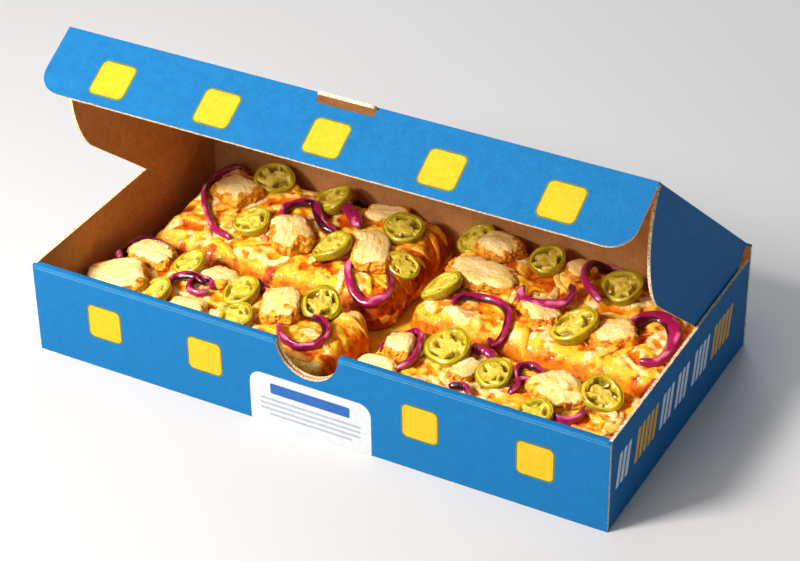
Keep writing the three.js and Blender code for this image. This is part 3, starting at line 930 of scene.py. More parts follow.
def finger_relief(gx, gy, fingers):
    """Height over the sauce and tone of the highest finger: h sqrt(1 - q^2/w^2) beside a bent bar."""
    height, tone = np.zeros(gx.shape), np.zeros(gx.shape)
    for x, y, angle, length, width, rise, bend, shade in fingers:
        dx, dy = gx - x, gy - y
        along = dx * np.cos(angle) + dy * np.sin(angle)
        beside = dy * np.cos(angle) - dx * np.sin(angle) - bend * (along / length) ** 2 * length
        past = np.clip(np.abs(along) - length + width, 0, None)
        bar = rise * np.sqrt(np.clip(1 - (beside**2 + past**2) / width**2, 0, None))
        tone = np.where(bar > height, shade, tone)
        height = np.maximum(height, bar)
    return height, tone


def soften(field, times=1):
    """Each value is averaged with its four neighbours, and counts twice itself."""
    for _ in range(times):
        padded = np.pad(field, 1, mode="edge")
        above, below = padded[:-2, 1:-1], padded[2:, 1:-1]
        field = (above + below + padded[1:-1, :-2] + padded[1:-1, 2:] + 2 * field) / 6
    return field


def make_fingers(x, y, seed):
    """Random fingers over a slab: place, angle, half length, half width, rise, bend and tone."""
    draw = np.random.default_rng(seed)
    ranges = ((0, np.pi), (4, 12), (1.8, 4.8), (0.8, 2.4), x, y, (-0.35, 0.35), (0, 1))
    angle, length, width, rise, at_x, at_y, bend, tone = (
        draw.uniform(*limits, FINGER_COUNT) for limits in ranges)
    return stack(at_x, at_y, angle, length, width, rise, bend, tone)


CHEESE_BASE, BACK_RISE, RIM_Z, RIM_WIDTH = 22.6, 3.4, 11.0, 12.5
# Where the sauce lies bare: x, y and radius.
BARE_PLACES = [(-2, 46, 16), (-6, 4, 14), (-9, 80, 14), (-158, 30, 9), (-120, 2, 7), (-52, 20, 5),
               (40, 60, 5), (-2, -58, 8)]


def cheese_field(place):
    """The cheese's height on a slab's grid, and its melt, tone, toast, and how much its raised crests
    are painted lighter than its hollows.
    """
    spec = SLABS[place]
    gx, gy, rim = slab_grids[place]
    where = stack(gx, gy)

    def uneven(size, shift, layers=1):
        return lumps(where, size, spec["seed"] + shift, layers)

    bare = uneven(19, 5) + 0.5 * uneven(7, 6)
    film = ramp(bare, -0.45, 0.1)
    bars, tone = finger_relief(gx, gy, make_fingers(spec["x"], spec["y"], spec["seed"]))
    bars = bars * ramp(bare, -1.1, -0.6)
    melt = np.clip(ramp(bars, 0.15, 0.8) + film, 0, 1)
    edge = np.clip(rim / RIM_WIDTH, 0, 1)
    dome = (1 - (1 - edge) ** 2.4) ** 0.6
    top = CHEESE_BASE + BACK_RISE * ramp(gy, 20, 70)
    height = RIM_Z + (top - RIM_Z) * dome
    height = height + 0.9 * uneven(24, 7) * edge + 0.5 * uneven(5, 8, 2) * edge
    height = height + soften(bars + 0.9 * film, 4) * (0.5 + 0.5 * edge)
    height = height + 0.36 * uneven(2.6, 9, 2) * (1 + 1.2 * (1 - edge))
    toast = (1 - ramp(rim, 1, 12)) * 0.65 + 0.5 * ramp(uneven(13, 10), 0.25, 0.8)
    inward = ramp(rim, 2, 9)
    # Raised crests are painted paler and hollows deeper orange, a painted highlight and painted
    # shade, kept weaker near the rim.
    crest = ramp(soften(height) - soften(height, 40), -0.7, 0.7) * (0.5 + 0.5 * inward)
    melt = melt * (0.7 + 0.3 * ramp(rim + 5 * uneven(8, 15), -1, 6))
    for x, y, radius in BARE_PLACES:
        away = np.hypot(gx - x, gy - y) + 5 * uneven(6, 16, 2)
        melt = melt * (0.12 + 0.88 * ramp(away, radius - 5, radius + 3))
        toast = toast + 0.55 * (1 - ramp(away, radius - 8, radius + 2))
    tone = tone * (0.2 + 0.8 * inward)
    return height, {"melt": soften(melt), "tone": tone, "toast": np.clip(toast, 0, 1), "crest": crest}


cheese_fields = {place: cheese_field(place) for place in SLABS}
print({place: float(field[0].max().round(1)) for place, field in cheese_fields.items()})


# %% The skins of cheese and dough
def slab_skin(gx, gy, height, values, side, foot_z, foot_values):
    """A closed skin: a grid on top, rows of points down its side, and a fan to the foot's middle.

    side is given the border's point numbers and XY, and yields each row's outset, Z and values.
    """
    shape = Shape()
    start = shape.add_points(stack(gx, gy, height), **values)
    shape.add_faces(grid_faces(*gx.shape, start))
    ring = grid_ring(*gx.shape)
    border = stack(gx.ravel()[ring], gy.ravel()[ring])
    out = outward_normals(border)
    above = ring + start
    for outset, z, row_values in side(ring, border):
        points = np.column_stack([border + out * outset[:, None], np.broadcast_to(z, len(ring))])
        below = shape.add_points(points, **row_values) + np.arange(len(ring))
        shape.add_faces(stack(above, below, np.roll(below, -1), np.roll(above, -1)))
        above = below
    middle = shape.add_points([*border.mean(0), foot_z], **foot_values)
    shape.add_faces(fan_faces(above, middle, True))
    return shape


# Down the rim of the cheese: the share of a drip's length, and how proud it stands.
DRIP_ROWS = [(0.25, 0.55), (0.75, 0.9), (1.0, 0.7), (1.06, -0.6), (0.8, -1.6)]
# Down the side of the dough: Z and how far it is drawn in.
DOUGH_ROWS = [(9.5, 0.0), (9.0, -0.15), (8.2, -0.25), (7.3, -0.2), (6.4, -0.1), (5.4, 0.05),
              (4.4, 0.3), (3.4, 0.7), (2.5, 1.4), (1.95, 2.6)]
DOUGH_TOP, DOUGH_FOOT, CHEESE_FOOT, DOUGH_STEP = 9.6, 1.95, 6.0, 1.6


def cheese_layer(place):
    """The cheese's top, its rim with drips, and a closed underside within the dough."""
    gx, gy, _ = slab_grids[place]
    height, values = cheese_fields[place]
    seed = SLABS[place]["seed"]

    def drips(ring, border):
        runs = lumps(border, 7, seed + 12) + 0.6 * lumps(border, 3.2, seed + 13)
        hang = 1.6 + 6.0 * ramp(runs, -0.1, 0.9)
        # The thicker runs of a drip are painted paler, a painted highlight.
        look = {"melt": 0.25 + 0.5 * ramp(runs, -0.15, 0.35), "toast": 0.6,
                "tone": 0.3 * values["tone"].ravel()[ring], "crest": ramp(runs, -0.3, 0.4)}
        for drop, proud in DRIP_ROWS:
            outset = proud * (0.7 + 0.3 * lumps(border, 4, seed + 14))
            yield outset, height.ravel()[ring] - hang * drop, look

    return slab_skin(gx, gy, height, values, drips, CHEESE_FOOT, {"toast": 1.0})


def dough_layer(place):
    """The baked base: a grid top hidden under the cheese, a bulging rough side and a flat foot."""
    seed = SLABS[place]["seed"]
    gx, gy, _ = slab_grid(**SLABS[place], step=DOUGH_STEP)

    def crust(_, border):
        for z, inset in DOUGH_ROWS:
            solid = np.column_stack([border, np.full(len(border), z)])
            rough = 0.55 * lumps(solid, 5, seed + 20, 3) * ramp(z, 1.9, 5)
            bake = 0.55 + 0.5 * lumps(solid, 9, seed + 21, 2) + 0.35 * ramp(6 - z, 0, 5)
            yield rough - 0.45 - inset, z, {"bake": np.clip(bake, 0, 1)}

    top = np.full(gx.shape, DOUGH_TOP)
    return slab_skin(gx, gy, top, {"bake": 0.5}, crust, DOUGH_FOOT, {"bake": 0.6})


# %% [markdown]
# ## Finishes of the baked slabs
# The cheese is pale cream where it is thick, deeper yellow where it is a thin film, and toasted where
# it stood proud in the oven. On top of that, its raised crests are painted paler and its hollows
# deeper orange: a painted highlight and painted shade. Between lies orange-red sauce with a skin of
# oil. The mesh carries how melted, toned and toasted each point is, and how much of the painted crest
# light it takes. The finish breaks those up with noise.


# %% Shared group and effects of cooked food
def make_cooked_pits():
    """Height = fine pits and blisters of a baked surface; Speck = rare dark flecks of spice."""
    outputs = {"Height": "Float", "Speck": "Float"}
    net, source, target = new_group("cooked_pits", {"Scale": 400.0}, outputs)
    inputs = {"Vector": net.place, "Scale": net.times(source["Scale"], 1.1)}
    cells = net.put("ShaderNodeTexVoronoi", inputs).outputs["Distance"]
    spot = net.step(cells, 0.1, 0.2, 1.0, 0.0)
    net.send(net.noise(source["Scale"], 4, 0.65), target["Height"])
    net.send(net.times(spot, net.blotches(120, 2, 0.6, 0.58, 0.66)), target["Speck"])
    return net.tree


cooked_pits = make_cooked_pits()


def pits(scale):
    """Bump height from the shared pits at a scale."""
    return lambda net: net.use(cooked_pits, {"Scale": scale}, "Height")


def spiced(net, color, scale, amount, spice):
    """A colour with the shared flecks of spice over it."""
    return net.mix(net.times(net.use(cooked_pits, {"Scale": scale}, "Speck"), amount), color, spice)


def oil(amount):
    """A thin coat of oil that stands in small spots, so that the light breaks up into glints."""
    return lambda net: net.blotches(460, 3, 0.65, 0.52, 0.62, amount)


# %% Cheese and dough finishes
def cheese_color(net):
    """Sauce, then film, then thick cheese by melt, with crests painted pale as a highlight and
    hollows painted orange as shade; then toasted edges and spots of spice.
    """
    pattern = net.noise(240, 4, 0.65)
    melt = net.broken("melt", pattern, 0.7)
    toast = net.worn("toast")
    sauce = net.two_tone((168, 50, 3), (226, 112, 10), 150)
    film = net.two_tone((224, 98, 2), (242, 152, 12), 110)
    thick = net.mix(net.step(net.worn("tone"), 0.3, 1.0), (250, 198, 52), (255, 243, 182))
    thick = net.mix(net.blotches(330, 5, 0.75, 0.46, 0.62, 0.62), thick, (240, 168, 36))
    # Painted highlight and painted shade: melted cheese turns pale cream on raised crests and orange
    # film in hollows.
    body = net.mix(net.step(net.broken("crest", pattern, 0.8), 0.3, 0.74), film, thick)
    color = net.mix(net.step(melt, 0.22, 0.42), sauce, film)
    color = net.mix(net.step(melt, 0.45, 0.85), color, body)
    bare = net.times(toast, net.calc("SUBTRACT", 1.0, net.worn("melt"), clamp=True))
    for amount, scale, rough, low, high, strength, scorched in (
            (bare, 60, 0.65, 0.38, 0.6, 1.0, (122, 30, 4)),
            (toast, 130, 0.7, 0.5, 0.66, 0.85, (176, 66, 12)),
            (toast, 190, 0.7, 0.52, 0.64, 0.85, (94, 26, 6))):
        spots = net.times(net.blotches(scale, 4, rough, low, high, strength), amount)
        color = net.mix(spots, color, scorched)
    return spiced(net, color, 420.0, 0.75, (170, 74, 24))


def dough_color(net):
    """Baked crust from straw to deep red-brown, by the mesh's own bake and noise."""
    bake = net.broken("bake", net.noise(160, 4, 0.7), 0.9)
    color = net.mix(net.step(bake, 0.2, 0.55), (236, 150, 48), (200, 88, 16))
    return net.mix(net.step(bake, 0.6, 1.0), color, (112, 32, 8))


cheese_finish = new_finish("melted_cheese", cheese_color, 0.55, pits(330.0), 0.0008, oil(0.9),
                           Specular_IOR_Level=0.16, Coat_Roughness=0.16)
dough_finish = new_finish("baked_dough", dough_color, 0.5, pits(260.0), 0.0012, oil(0.9),
                          Specular_IOR_Level=0.16, Coat_Roughness=0.2)


# %% Slab pieces
def make_food(name, shape, finish, has_node=True):
    """A piece of food, which stands for the node of its own name where there is one."""
    make_piece(name, shape, [finish], "root", [name] if has_node else ())


for place in SLABS:
    make_food(f"dough_{place}", dough_layer(place), dough_finish)
    make_food(f"cheese_{place}", cheese_layer(place), cheese_finish)

# %% [markdown]
# ## Where a topping sits
# A topping sinks a little into the melted cheese, so its lowest point lies just under the mean
# height of the cheese around it.


# %% Seat height
all_x, all_y = (np.concatenate([grid[k].ravel() for grid in slab_grids.values()]) for k in (0, 1))
all_z = np.concatenate([field[0].ravel() for field in cheese_fields.values()])


def cheese_top(x, y, radius):
    """The mean cheese height within a radius of a place, or a little less where there is none."""
    near = (all_x - x) ** 2 + (all_y - y) ** 2 < radius**2
    return all_z[near].mean() if near.any() else CHEESE_BASE - 2


def lay_on_cheese(path, radius):
    """A path of XY places as points at the height of the cheese under them."""
    return np.column_stack([path, [cheese_top(x, y, radius) for x, y in path]])


print("cheese at the middle of the back left slab:", cheese_top(-80, 42, 4).round(2))

# %% [markdown]
# ## Pepper rings
# A slice of pickled pepper is a glossy olive wall of flesh around a pale core, with two to four
# hollow chambers between them and flat seeds in the chambers. Its skin is a closed surface of
# rings and spokes: out over the top, round the wall and back underneath.

# %% Pepper table
# Each has its place, radius, thickness and tilt about X and Y in degrees.
PEPPERS = [
    ((-114, 71), 12.5, 5.5, (16, 8)), ((-74, 69), 12, 5, (14, -22)), ((-105, 32), 12.5, 5, (10, -14)),
    ((-53, 30), 13, 5, (8, -26)), ((-25, 60), 12, 5.5, (14, 6)), ((-13, 36), 10.5, 4, (6, 18)),
    ((-114, -17), 10.5, 5, (12, -16)), ((-118, -47), 10.5, 5, (10, -14)),
    ((-76, -27), 11.5, 5.5, (12, -12)),
    ((-66, -49), 11, 5, (10, -10)), ((-31, -20), 12, 5, (12, 16)), ((14, 72), 12, 5, (16, -12)),
    ((17, 25), 12.5, 4.5, (6, -30)), ((58, 68), 11, 5.5, (14, 0)), ((95, 24), 14, 5.5, (10, -20)),
    ((104, 64), 13, 5, (12, -10)), ((46, -24), 14, 6, (10, -8)), ((76, -32), 10.5, 5.5, (12, 4)),
    ((132, -24), 12, 5.5, (14, 14)), ((109, -54), 10.5, 5, (14, -4)),
]
PEPPER_SINK = 0.9
CORE_ROWS, UNDER_ROWS, FLAT_SHARE, SEED_SIZE = 44, 10, 0.93, (1.25, 0.95, 0.45)
print(len(PEPPERS), "pepper rings")


# %% Pepper shape and finish
def turned(points, tilt_x, tilt_y, spin=0.0):
    """Points spun about Z, then tilted about Y and about X."""
    for angle, (a, b) in ((spin, (0, 1)), (tilt_y, (2, 0)), (tilt_x, (1, 2))):
        c, s = np.cos(angle), np.sin(angle)
        moved = points.copy()
        moved[..., a] = c * points[..., a] - s * points[..., b]
        moved[..., b] = s * points[..., a] + c * points[..., b]
        points = moved
    return points


def pepper_slice(radius, thick, seed):
    """Rows from the core over the wall to the underside, with chambers cut between spokes."""
    draw = np.random.default_rng(seed)
    around = circle(112)

    def wave(size, folds):
        return size * np.cos(folds * around + draw.uniform(0, 6))

    count = int(draw.choice([2, 3, 3, 3, 4]))
    starts = np.sort((np.arange(count) + draw.uniform(-0.16, 0.16, count)) * 2 * np.pi / count)
    starts = starts + draw.uniform(0, 6)
    gap = np.abs((around[:, None] - starts + np.pi) % (2 * np.pi) - np.pi).min(1)
    outline = 1 + wave(0.05, 2) + wave(0.03, 3) + wave(0.012, 5)
    half = thick / 2
    bulge = np.linspace(-np.pi / 2, np.pi / 2, 11)[1:-1]
    r = np.concatenate([np.linspace(0.02, FLAT_SHARE, CORE_ROWS),
                        FLAT_SHARE + (1 - FLAT_SHARE) * np.cos(bulge),
                        np.linspace(FLAT_SHARE, 0.02, UNDER_ROWS)])[:, None]
    z = np.concatenate([np.full(CORE_ROWS, half), -half * np.sin(bulge), np.full(UNDER_ROWS, -half)])
    top = (np.arange(len(r)) < CORE_ROWS).astype(float)[:, None]
    wall_in = 0.77 + wave(0.035, count)
    core_out = 0.42 + wave(0.1, 2) + wave(0.06, 3)
    flat = stack(r * radius * np.cos(around), r * radius * np.sin(around))
    ragged = lumps(flat, 2.8, seed + 3, 3)
    pockets = ramp(lumps(flat, 4.6, seed + 5, 2), -0.45, 0.05)
    chamber = top * ramp(gap * np.maximum(r, 0.3), 0.1, 0.22) * pockets
    chamber = chamber * ramp(r, core_out - 0.05, core_out + 0.07)
    chamber = chamber * ramp(-r, -wall_in - 0.02, -wall_in + 0.05)
    inner = top * ramp(-r, -wall_in, -wall_in + 0.06)
    height = z[:, None] - chamber * thick * 0.58 - inner * (0.35 + 0.42 * ragged)
    height = height + (1 - inner) * top * 0.15 * ragged - top * 0.34 * half * ramp(r, 0.82, 0.94)
    cone = 1 - 0.07 * (half - height) / thick
    bend = 0.045 * radius * r**2 * wave(1, 2)
    reach = r * outline * radius * cone
    points = stack(reach * np.cos(around), reach * np.sin(around), height + bend)
    skin = ramp(r, 0.9, 0.97) * np.ones_like(height)
    skin[-UNDER_ROWS:] = 0.3
    return points, {"skin": skin, "hollow": chamber, "core": inner}, starts + np.pi / count


def pepper_color(net):
    """Yellow-green flesh, then the pale core, the olive skin, and the hollows painted darker as
    shade.
    """
    color = net.two_tone((172, 156, 22), (208, 190, 50), 160)
    pith = net.two_tone((196, 174, 44), (232, 212, 96), 200)
    skin = net.two_tone((136, 122, 8), (186, 164, 24), 140, 4, 0.7, 0.35, 0.7)
    # deep: darker flesh painted into the hollow chambers as shade.
    deep = net.two_tone((128, 104, 10), (172, 146, 32), 200)
    for name, low, high, layer in (("core", 0.4, 0.8, pith), ("skin", 0.25, 0.75, skin),
                                   ("hollow", 0.3, 0.9, deep)):
        color = net.mix(net.step(net.worn(name), low, high), color, layer)
    return color


pepper_finish = new_finish("pickled_pepper", pepper_color, 0.28, pits(240.0), 0.0004,
                           Subsurface_Weight=0.15, Subsurface_Radius=(0.003, 0.003, 0.001),
                           Subsurface_Scale=0.5, Coat_Weight=0.25, Coat_Roughness=0.15)
seed_finish = new_finish("pepper_seed",
                         lambda net: net.mix(net.noise(500, 2), (226, 200, 110), (244, 228, 160)),
                         0.35, pits(600.0), 0.0002)


# %% Pepper pieces and their seeds
def round_shell(half, rows, cols, power=2.0):
    """A shell of |x/a|^p + |y/b|^p + |z/c|^p = 1, as rings from pole to pole, and its directions."""
    up = np.linspace(-np.pi / 2, np.pi / 2, rows + 2)[1:-1, None]
    around = circle(cols)[None]
    level = np.cos(up)
    way = stack(level * np.cos(around), level * np.sin(around), np.sin(up))
    reach = (np.abs(way) ** power).sum(-1, keepdims=True) ** (-1 / power)
    return way * reach * np.asarray(half), way


seeds = Shape()
for number, ((x, y), radius, thick, tilt) in enumerate(PEPPERS, 1):
    draw = np.random.default_rng(500 + number)
    tilt = np.radians(tilt)
    rings, values, chambers = pepper_slice(0.95 * radius, thick, 60 + number)
    rings = turned(rings, *tilt)
    lift = cheese_top(x, y, 0.7 * radius) - PEPPER_SINK - np.percentile(rings[..., 2], 3)
    centre = np.array([x, y, lift])
    shape = Shape()
    shape.add_tube(rings + centre, **values)
    make_food(f"pepper_{number}", shape, pepper_finish)
    for k in range(int(draw.integers(3, 8))):
        angle = chambers[k % len(chambers)] + draw.uniform(-0.4, 0.4)
        shell, _ = round_shell(SEED_SIZE, 5, 8)
        shell = turned(shell, draw.uniform(-0.5, 0.5), draw.uniform(-0.5, 0.5), draw.uniform(0, 3))
        spot = np.array([np.cos(angle), np.sin(angle), 0]) * radius * draw.uniform(0.45, 0.66)
        spot[2] = thick * draw.uniform(-0.25, 0.1)
        seeds.add_tube(shell + turned(spot, *tilt) + centre)
make_food("pepper_seeds", seeds, seed_finish, False)

# %% [markdown]
# ## Torn chicken
# Roast chicken torn into lumps: cream flesh whose fibres run one way and end ragged, with a rind
# browned by spice. A lump starts as a rounded box. Noise stretched along the fibres roughens it,
# and its two ends are combed in and out where it was torn.

# %% Chicken table
# Each has its place, length and width, height, and turn about Z in degrees.
CHICKEN = [
    ((-128, 54), (26, 22), 7, -20), ((-80, 32), (33, 23), 8, -58), ((-34, 38), (36, 22), 8, -60),
    ((-138, -17), (26, 19), 7, -8), ((-143, -45), (33, 27), 8, 35), ((-94, -19), (22, 15), 6, -20),
    ((-95, -51), (23, 15), 6, 5), ((-51, -28), (28, 22), 7, -65), ((29, 69), (26, 20), 8, -15),
    ((32, 44), (37, 24), 6, 8), ((73, 29), (23, 18), 6, -35), ((115, 29), (24, 19), 7, 20),
    ((22, -31), (22, 15), 6, -68), ((111, -30), (29, 25), 8, -40),
]
MORE_CHICKEN = [
    ((-42, 74), (26, 16), 5, 20), ((77, 70), (18, 16), 5, -40), ((20, -53), (22, 14), 4.5, 10),
    ((61, -34), (20, 12), 4.5, 75),
]
CHICKEN_SINK = 0.5
print(len(CHICKEN), "lumps with nodes and", len(MORE_CHICKEN), "more")


# %% Chicken shape and finish
def chicken_lump(length, width, height, seed):
    """Rings of a rounded box with p = 3.3, swollen by noise along the fibres and torn at the ends."""
    draw = np.random.default_rng(seed)
    shell, way = round_shell((length / 2, width / 2, height / 2 + 0.9), 74, 132, 3.3)
    shift = draw.uniform(0, 200, 3)
    end, level, up = way[..., 0], way[..., :2], way[..., 2]
    broad = lumps(shell + shift, 11, seed, 2)
    rimward = (1 - np.abs(up)) ** 0.5
    outline = 1.03 - 0.1 * up + 0.14 * lumps(level * 3 + shift[:2], 1.5, seed + 1) * rimward
    outline = outline - 0.08 * ramp(lumps(level * 6 + shift[:2], 1.3, seed + 7), 0.2, 0.8) * rimward
    fibre = lumps((shell + 1.2 * broad[..., None]) * [0.25, 1, 0.8] + shift, 1.6, seed + 2, 3)
    torn = lumps(shell * [0.05, 1, 0.9] + shift, 1.4, seed + 3, 2)
    point = shell.copy()
    point[..., :2] *= outline[..., None]
    point = point + way * (0.45 * broad + 0.2 * fibre)[..., None]
    point[..., 0] += np.sign(end) * ramp(np.abs(end), 0.66, 0.96) * (0.9 * torn - 0.5)
    point[..., 2] += 0.7 * lumps(shell[..., :2] + shift[:2], 9, seed + 4) * ramp(up, 0.2, 0.8)
    side = draw.uniform(-np.pi, np.pi)
    facing = end * np.cos(side) + way[..., 1] * np.sin(side)
    patchy = lumps(shell + shift, 6, seed + 5, 2)
    rind = ramp(facing - 0.8 * up + 0.8 * patchy, 0.1, 0.8)
    low = ramp(0.72 - up + 0.4 * patchy, 0.0, 0.45)
    crumbs = np.clip(rind + low, 0, 1) * lumps(point + shift, 1.2, seed + 6)
    point = point + way * (0.45 * crumbs)[..., None]
    return point, {"rind": np.clip(0.7 * rind + 0.8 * low, 0, 1), "thread": fibre * 0.5 + 0.5}


def chicken_color(net):
    """Cream flesh with darker threads, orange-brown spice on the rind, and a few charred specks."""
    color = net.mix(net.worn("thread"), (252, 216, 112), (255, 245, 190))
    color = net.mix(net.blotches(140, 4, 0.7, 0.5, 0.7, 0.7), color, (246, 192, 70))
    color = net.mix(net.blotches(620, 4, 0.75, 0.5, 0.64, 0.5), color, (238, 178, 76))
    spice = net.two_tone((190, 100, 14), (250, 184, 52), 260, 4, 0.75)
    rind = net.broken("rind", net.noise(320, 4, 0.75), 1.0)
    color = net.mix(net.step(rind, 0.3, 0.66), color, spice)
    char = net.times(net.blotches(380, 4, 0.75, 0.54, 0.64, 0.8), net.worn("rind"))
    return spiced(net, net.mix(char, color, (112, 48, 8)), 500.0, 0.7, (150, 66, 20))


chicken_finish = new_finish("roast_chicken", chicken_color, 0.5, pits(420.0), 0.0006, oil(0.45),
                            Specular_IOR_Level=0.16, Coat_Roughness=0.2)


# %% Chicken pieces
def make_toppings(kind, build, finish, nodes, extras, extras_name):
    """Builds each topping; the first stand for their nodes, and the extras share one piece."""
    shared = Shape()
    for number, spec in enumerate(nodes + extras, 1):
        own = Shape() if number <= len(nodes) else shared
        rings, values = build(number, *spec)
        own.add_tube(rings, **values)
        if number <= len(nodes):
            make_food(f"{kind}_{number}", own, finish)
    make_food(extras_name, shared, finish, False)


def lay_chicken(number, place, size, tall, turn):
    """A lump with a slight random tilt, at its place on the cheese."""
    rings, values = chicken_lump(*size, tall, 300 + number)
    draw = np.random.default_rng(400 + number)
    rings = turned(rings, draw.uniform(-0.12, 0.12), draw.uniform(-0.12, 0.12), np.radians(turn))
    seat = cheese_top(*place, 0.4 * size[1]) - CHICKEN_SINK + tall / 2
    return rings + np.array([*place, seat]), values


make_toppings("chicken", lay_chicken, chicken_finish, CHICKEN, MORE_CHICKEN, "chicken_small_lumps")

# %% [markdown]
# ## Red onion
# Onion cut across comes apart into bent strips. Each is a bar with a slightly hollow section, run
# along a smooth path that follows the cheese. Its outer edge keeps a line of dark purple skin. The
# flesh fades from magenta to nearly white towards its inner side, and along its top, where the
# paleness is a painted highlight.

# %% Onion table
# Each has its thickness and the places that its middle line runs through.
ONIONS = [
    (2.6, [(-139, 83), (-144, 74), (-150, 64)]),
    (2.6, [(-146, 61), (-147, 53), (-142, 42), (-133, 31), (-121, 20), (-109, 15)]),
    (3.4, [(-90, 41), (-96, 50), (-91, 59), (-83, 62), (-76, 55), (-69, 48), (-60, 46)]),
    (5.2, [(-61, 82), (-66, 75), (-63, 66), (-55, 60), (-49, 53)]),
    (3.2, [(-39, 28), (-35, 16), (-27, 6), (-17, 3), (-10, 9), (-11, 18), (-17, 27)]),
    (3, [(-133, -6), (-145, -5), (-154, -11), (-156, -22), (-150, -31)]),
    (3, [(-116, -39), (-115, -31), (-106, -27), (-98, -29)]),
    (3.2, [(-35, -29), (-24, -31), (-17, -39), (-17, -49), (-26, -55), (-37, -52), (-44, -43)]),
    (2.8, [(28, 14), (31, 23), (41, 28), (52, 26), (60, 18), (63, 7), (60, 0), (55, 4)]),
    (3.2, [(57, 41), (61, 32), (71, 31), (81, 36), (83, 45), (79, 52)]),
    (3, [(101, 80), (89, 80), (82, 73), (83, 62), (90, 53), (99, 46)]),
    (6.2, [(125, 31), (120, 40), (124, 49), (134, 51), (144, 43), (147, 31), (144, 18), (136, 14)]),
    (3, [(19, -23), (23, -16), (29, -20), (33, -32), (34, -42), (30, -49)]),
]
MORE_ONIONS = [
    (2.2, [(-93, -31), (-95, -26), (-101, -26), (-104, -31), (-102, -37), (-96, -38), (-93, -34)]),
    (3.4, [(-75, -14), (-69, -17), (-61, -20)]),
    (3.0, [(-98, -58), (-88, -56), (-78, -59)]),
    (1.2, [(13, -36), (11, -29), (15, -23), (20, -26)]),
    (3.0, [(55, -14), (61, -15), (68, -16)]),
    (2.6, [(88, -29), (84, -20), (90, -15), (98, -20), (97, -27), (90, -30), (91, -37), (90, -42)]),
    (2.4, [(61, -50), (69, -48), (75, -55)]),
    (2.8, [(129, -36), (128, -44), (122, -50), (114, -48)]),
]
# How much higher than the cheese these lie, because they rest on other toppings.
LIES_OVER = {4: 2.5, 6: 4.5, 10: 3.5, 11: 4.0}
ONION_TALL = 5.3
print(len(ONIONS), "strips with nodes and", len(MORE_ONIONS), "more")


# %% Onion shape
def smooth_path(points, steps):
    """Catmull-Rom: half of (2b + (c-a)t + (2a-5b+4c-d)t^2 + (3b-a-3c+d)t^3) between b and c."""
    p = np.asarray(points, float)
    p = np.concatenate([[2 * p[0] - p[1]], p, [2 * p[-1] - p[-2]]])
    place = np.linspace(0, len(p) - 3 - 1e-9, steps)
    k = place.astype(int)
    t = (place - k)[:, None]
    a, b, c, d = p[k], p[k + 1], p[k + 2], p[k + 3]
    curve = 2 * b + (c - a) * t + (2 * a - 5 * b + 4 * c - d) * t**2
    return 0.5 * (curve + (3 * b - a - 3 * c + d) * t**3)


def swept(path, section, lean):
    """Rings of a section (rows, columns, 2) run along a path: sideways and up from its middle."""
    ahead = np.gradient(path, axis=0)
    ahead /= np.linalg.norm(ahead, axis=1, keepdims=True)
    side = np.cross(ahead, Z)
    side /= np.linalg.norm(side, axis=1, keepdims=True)
    up = np.cross(side, ahead)
    lean = np.broadcast_to(lean, len(path))[:, None]
    across = side * np.cos(lean) + up * np.sin(lean)
    above = up * np.cos(lean) - side * np.sin(lean)
    return path[:, None] + section[..., :1] * across[:, None] + section[..., 1:] * above[:, None]


def onion_strip(number, thick, path):
    """A strip's rings and values: skin along the outer edge, pale flesh inside, and pale flesh
    painted along the top as a highlight.
    """
    seed = 700 + number
    draw = np.random.default_rng(seed)
    flat = smooth_path(path, 72)
    spine = lay_on_cheese(flat, 3.5)
    spine[:, 2] = soften(np.repeat(spine[:, 2:], 3, 1), 60)[:, 1]
    along = np.linspace(0, 1, len(spine))
    turn = circle(26)
    thick = 1.2 * thick + 0.7
    section = np.stack([0.5 * thick * np.cos(turn) + 0.16 * thick * (1 - np.sin(turn) ** 2),
                        0.5 * ONION_TALL * np.sin(turn) * (1 - 0.1 * np.cos(turn))], -1)
    taper = 0.55 + 0.45 * np.sqrt(np.clip(1 - np.abs(2 * along - 1) ** 7, 0, 1))
    swell = 1 + 0.1 * lumps(stack(along * 60, along * 0), 6, seed)
    sway = lumps(stack(along * 50, along * 0 + 9), 14, seed + 1)
    spine[:, 2] += 0.5 * ONION_TALL * taper - 0.4 + 0.7 * sway
    lean = draw.uniform(-0.35, 0.35) + 0.35 * np.sin(along * 5 + draw.uniform(0, 6))
    rings = swept(spine, section * taper[:, None, None] * swell[:, None, None], lean)
    middle = np.asarray(path, float).mean(0)
    outer = np.sign(np.cross(flat[-1] - flat[0], middle - flat[0])) or 1.0
    facing = np.cos(turn) * outer
    streak = 0.35 * lumps(rings, (7, 7, 2.2), seed + 2, 2)
    skin = ramp(facing + 0.25 * np.abs(np.sin(turn)) + streak, 0.6, 0.95)
    # Pale flesh on the inner side; along the top, pale is painted as a highlight.
    pale = ramp(np.sin(turn) * 0.9 - facing * 0.5 + streak * 1.4, 0.65, 1.5)
    return rings + LIES_OVER.get(number, 0.0) * Z, {"skin": skin, "pale": pale}


# %% Onion finish and pieces
def onion_color(net):
    """Magenta flesh that pales towards white on its inner side and in a painted highlight on top,
    with dark purple skin and faint veins along it.
    """
    vein = net.noise(420)
    color = net.mix(net.noise(70, 2), (126, 6, 64), (178, 26, 98))
    # Pales towards white: real on the inner side, a painted highlight along the top.
    color = net.mix(net.step(net.broken("pale", vein, 0.5), 0.25, 1.0), color, (230, 130, 172))
    return net.mix(net.step(net.broken("skin", vein, 0.4), 0.3, 0.8), color, (62, 4, 30))


onion_finish = new_finish("red_onion", onion_color, 0.25, pits(300.0), 0.0003, Subsurface_Weight=0.15,
                          Subsurface_Radius=(0.004, 0.001, 0.002), Subsurface_Scale=0.5,
                          Coat_Weight=0.4, Coat_Roughness=0.12)
make_toppings("onion", onion_strip, onion_finish, ONIONS, MORE_ONIONS, "onion_small_strips")

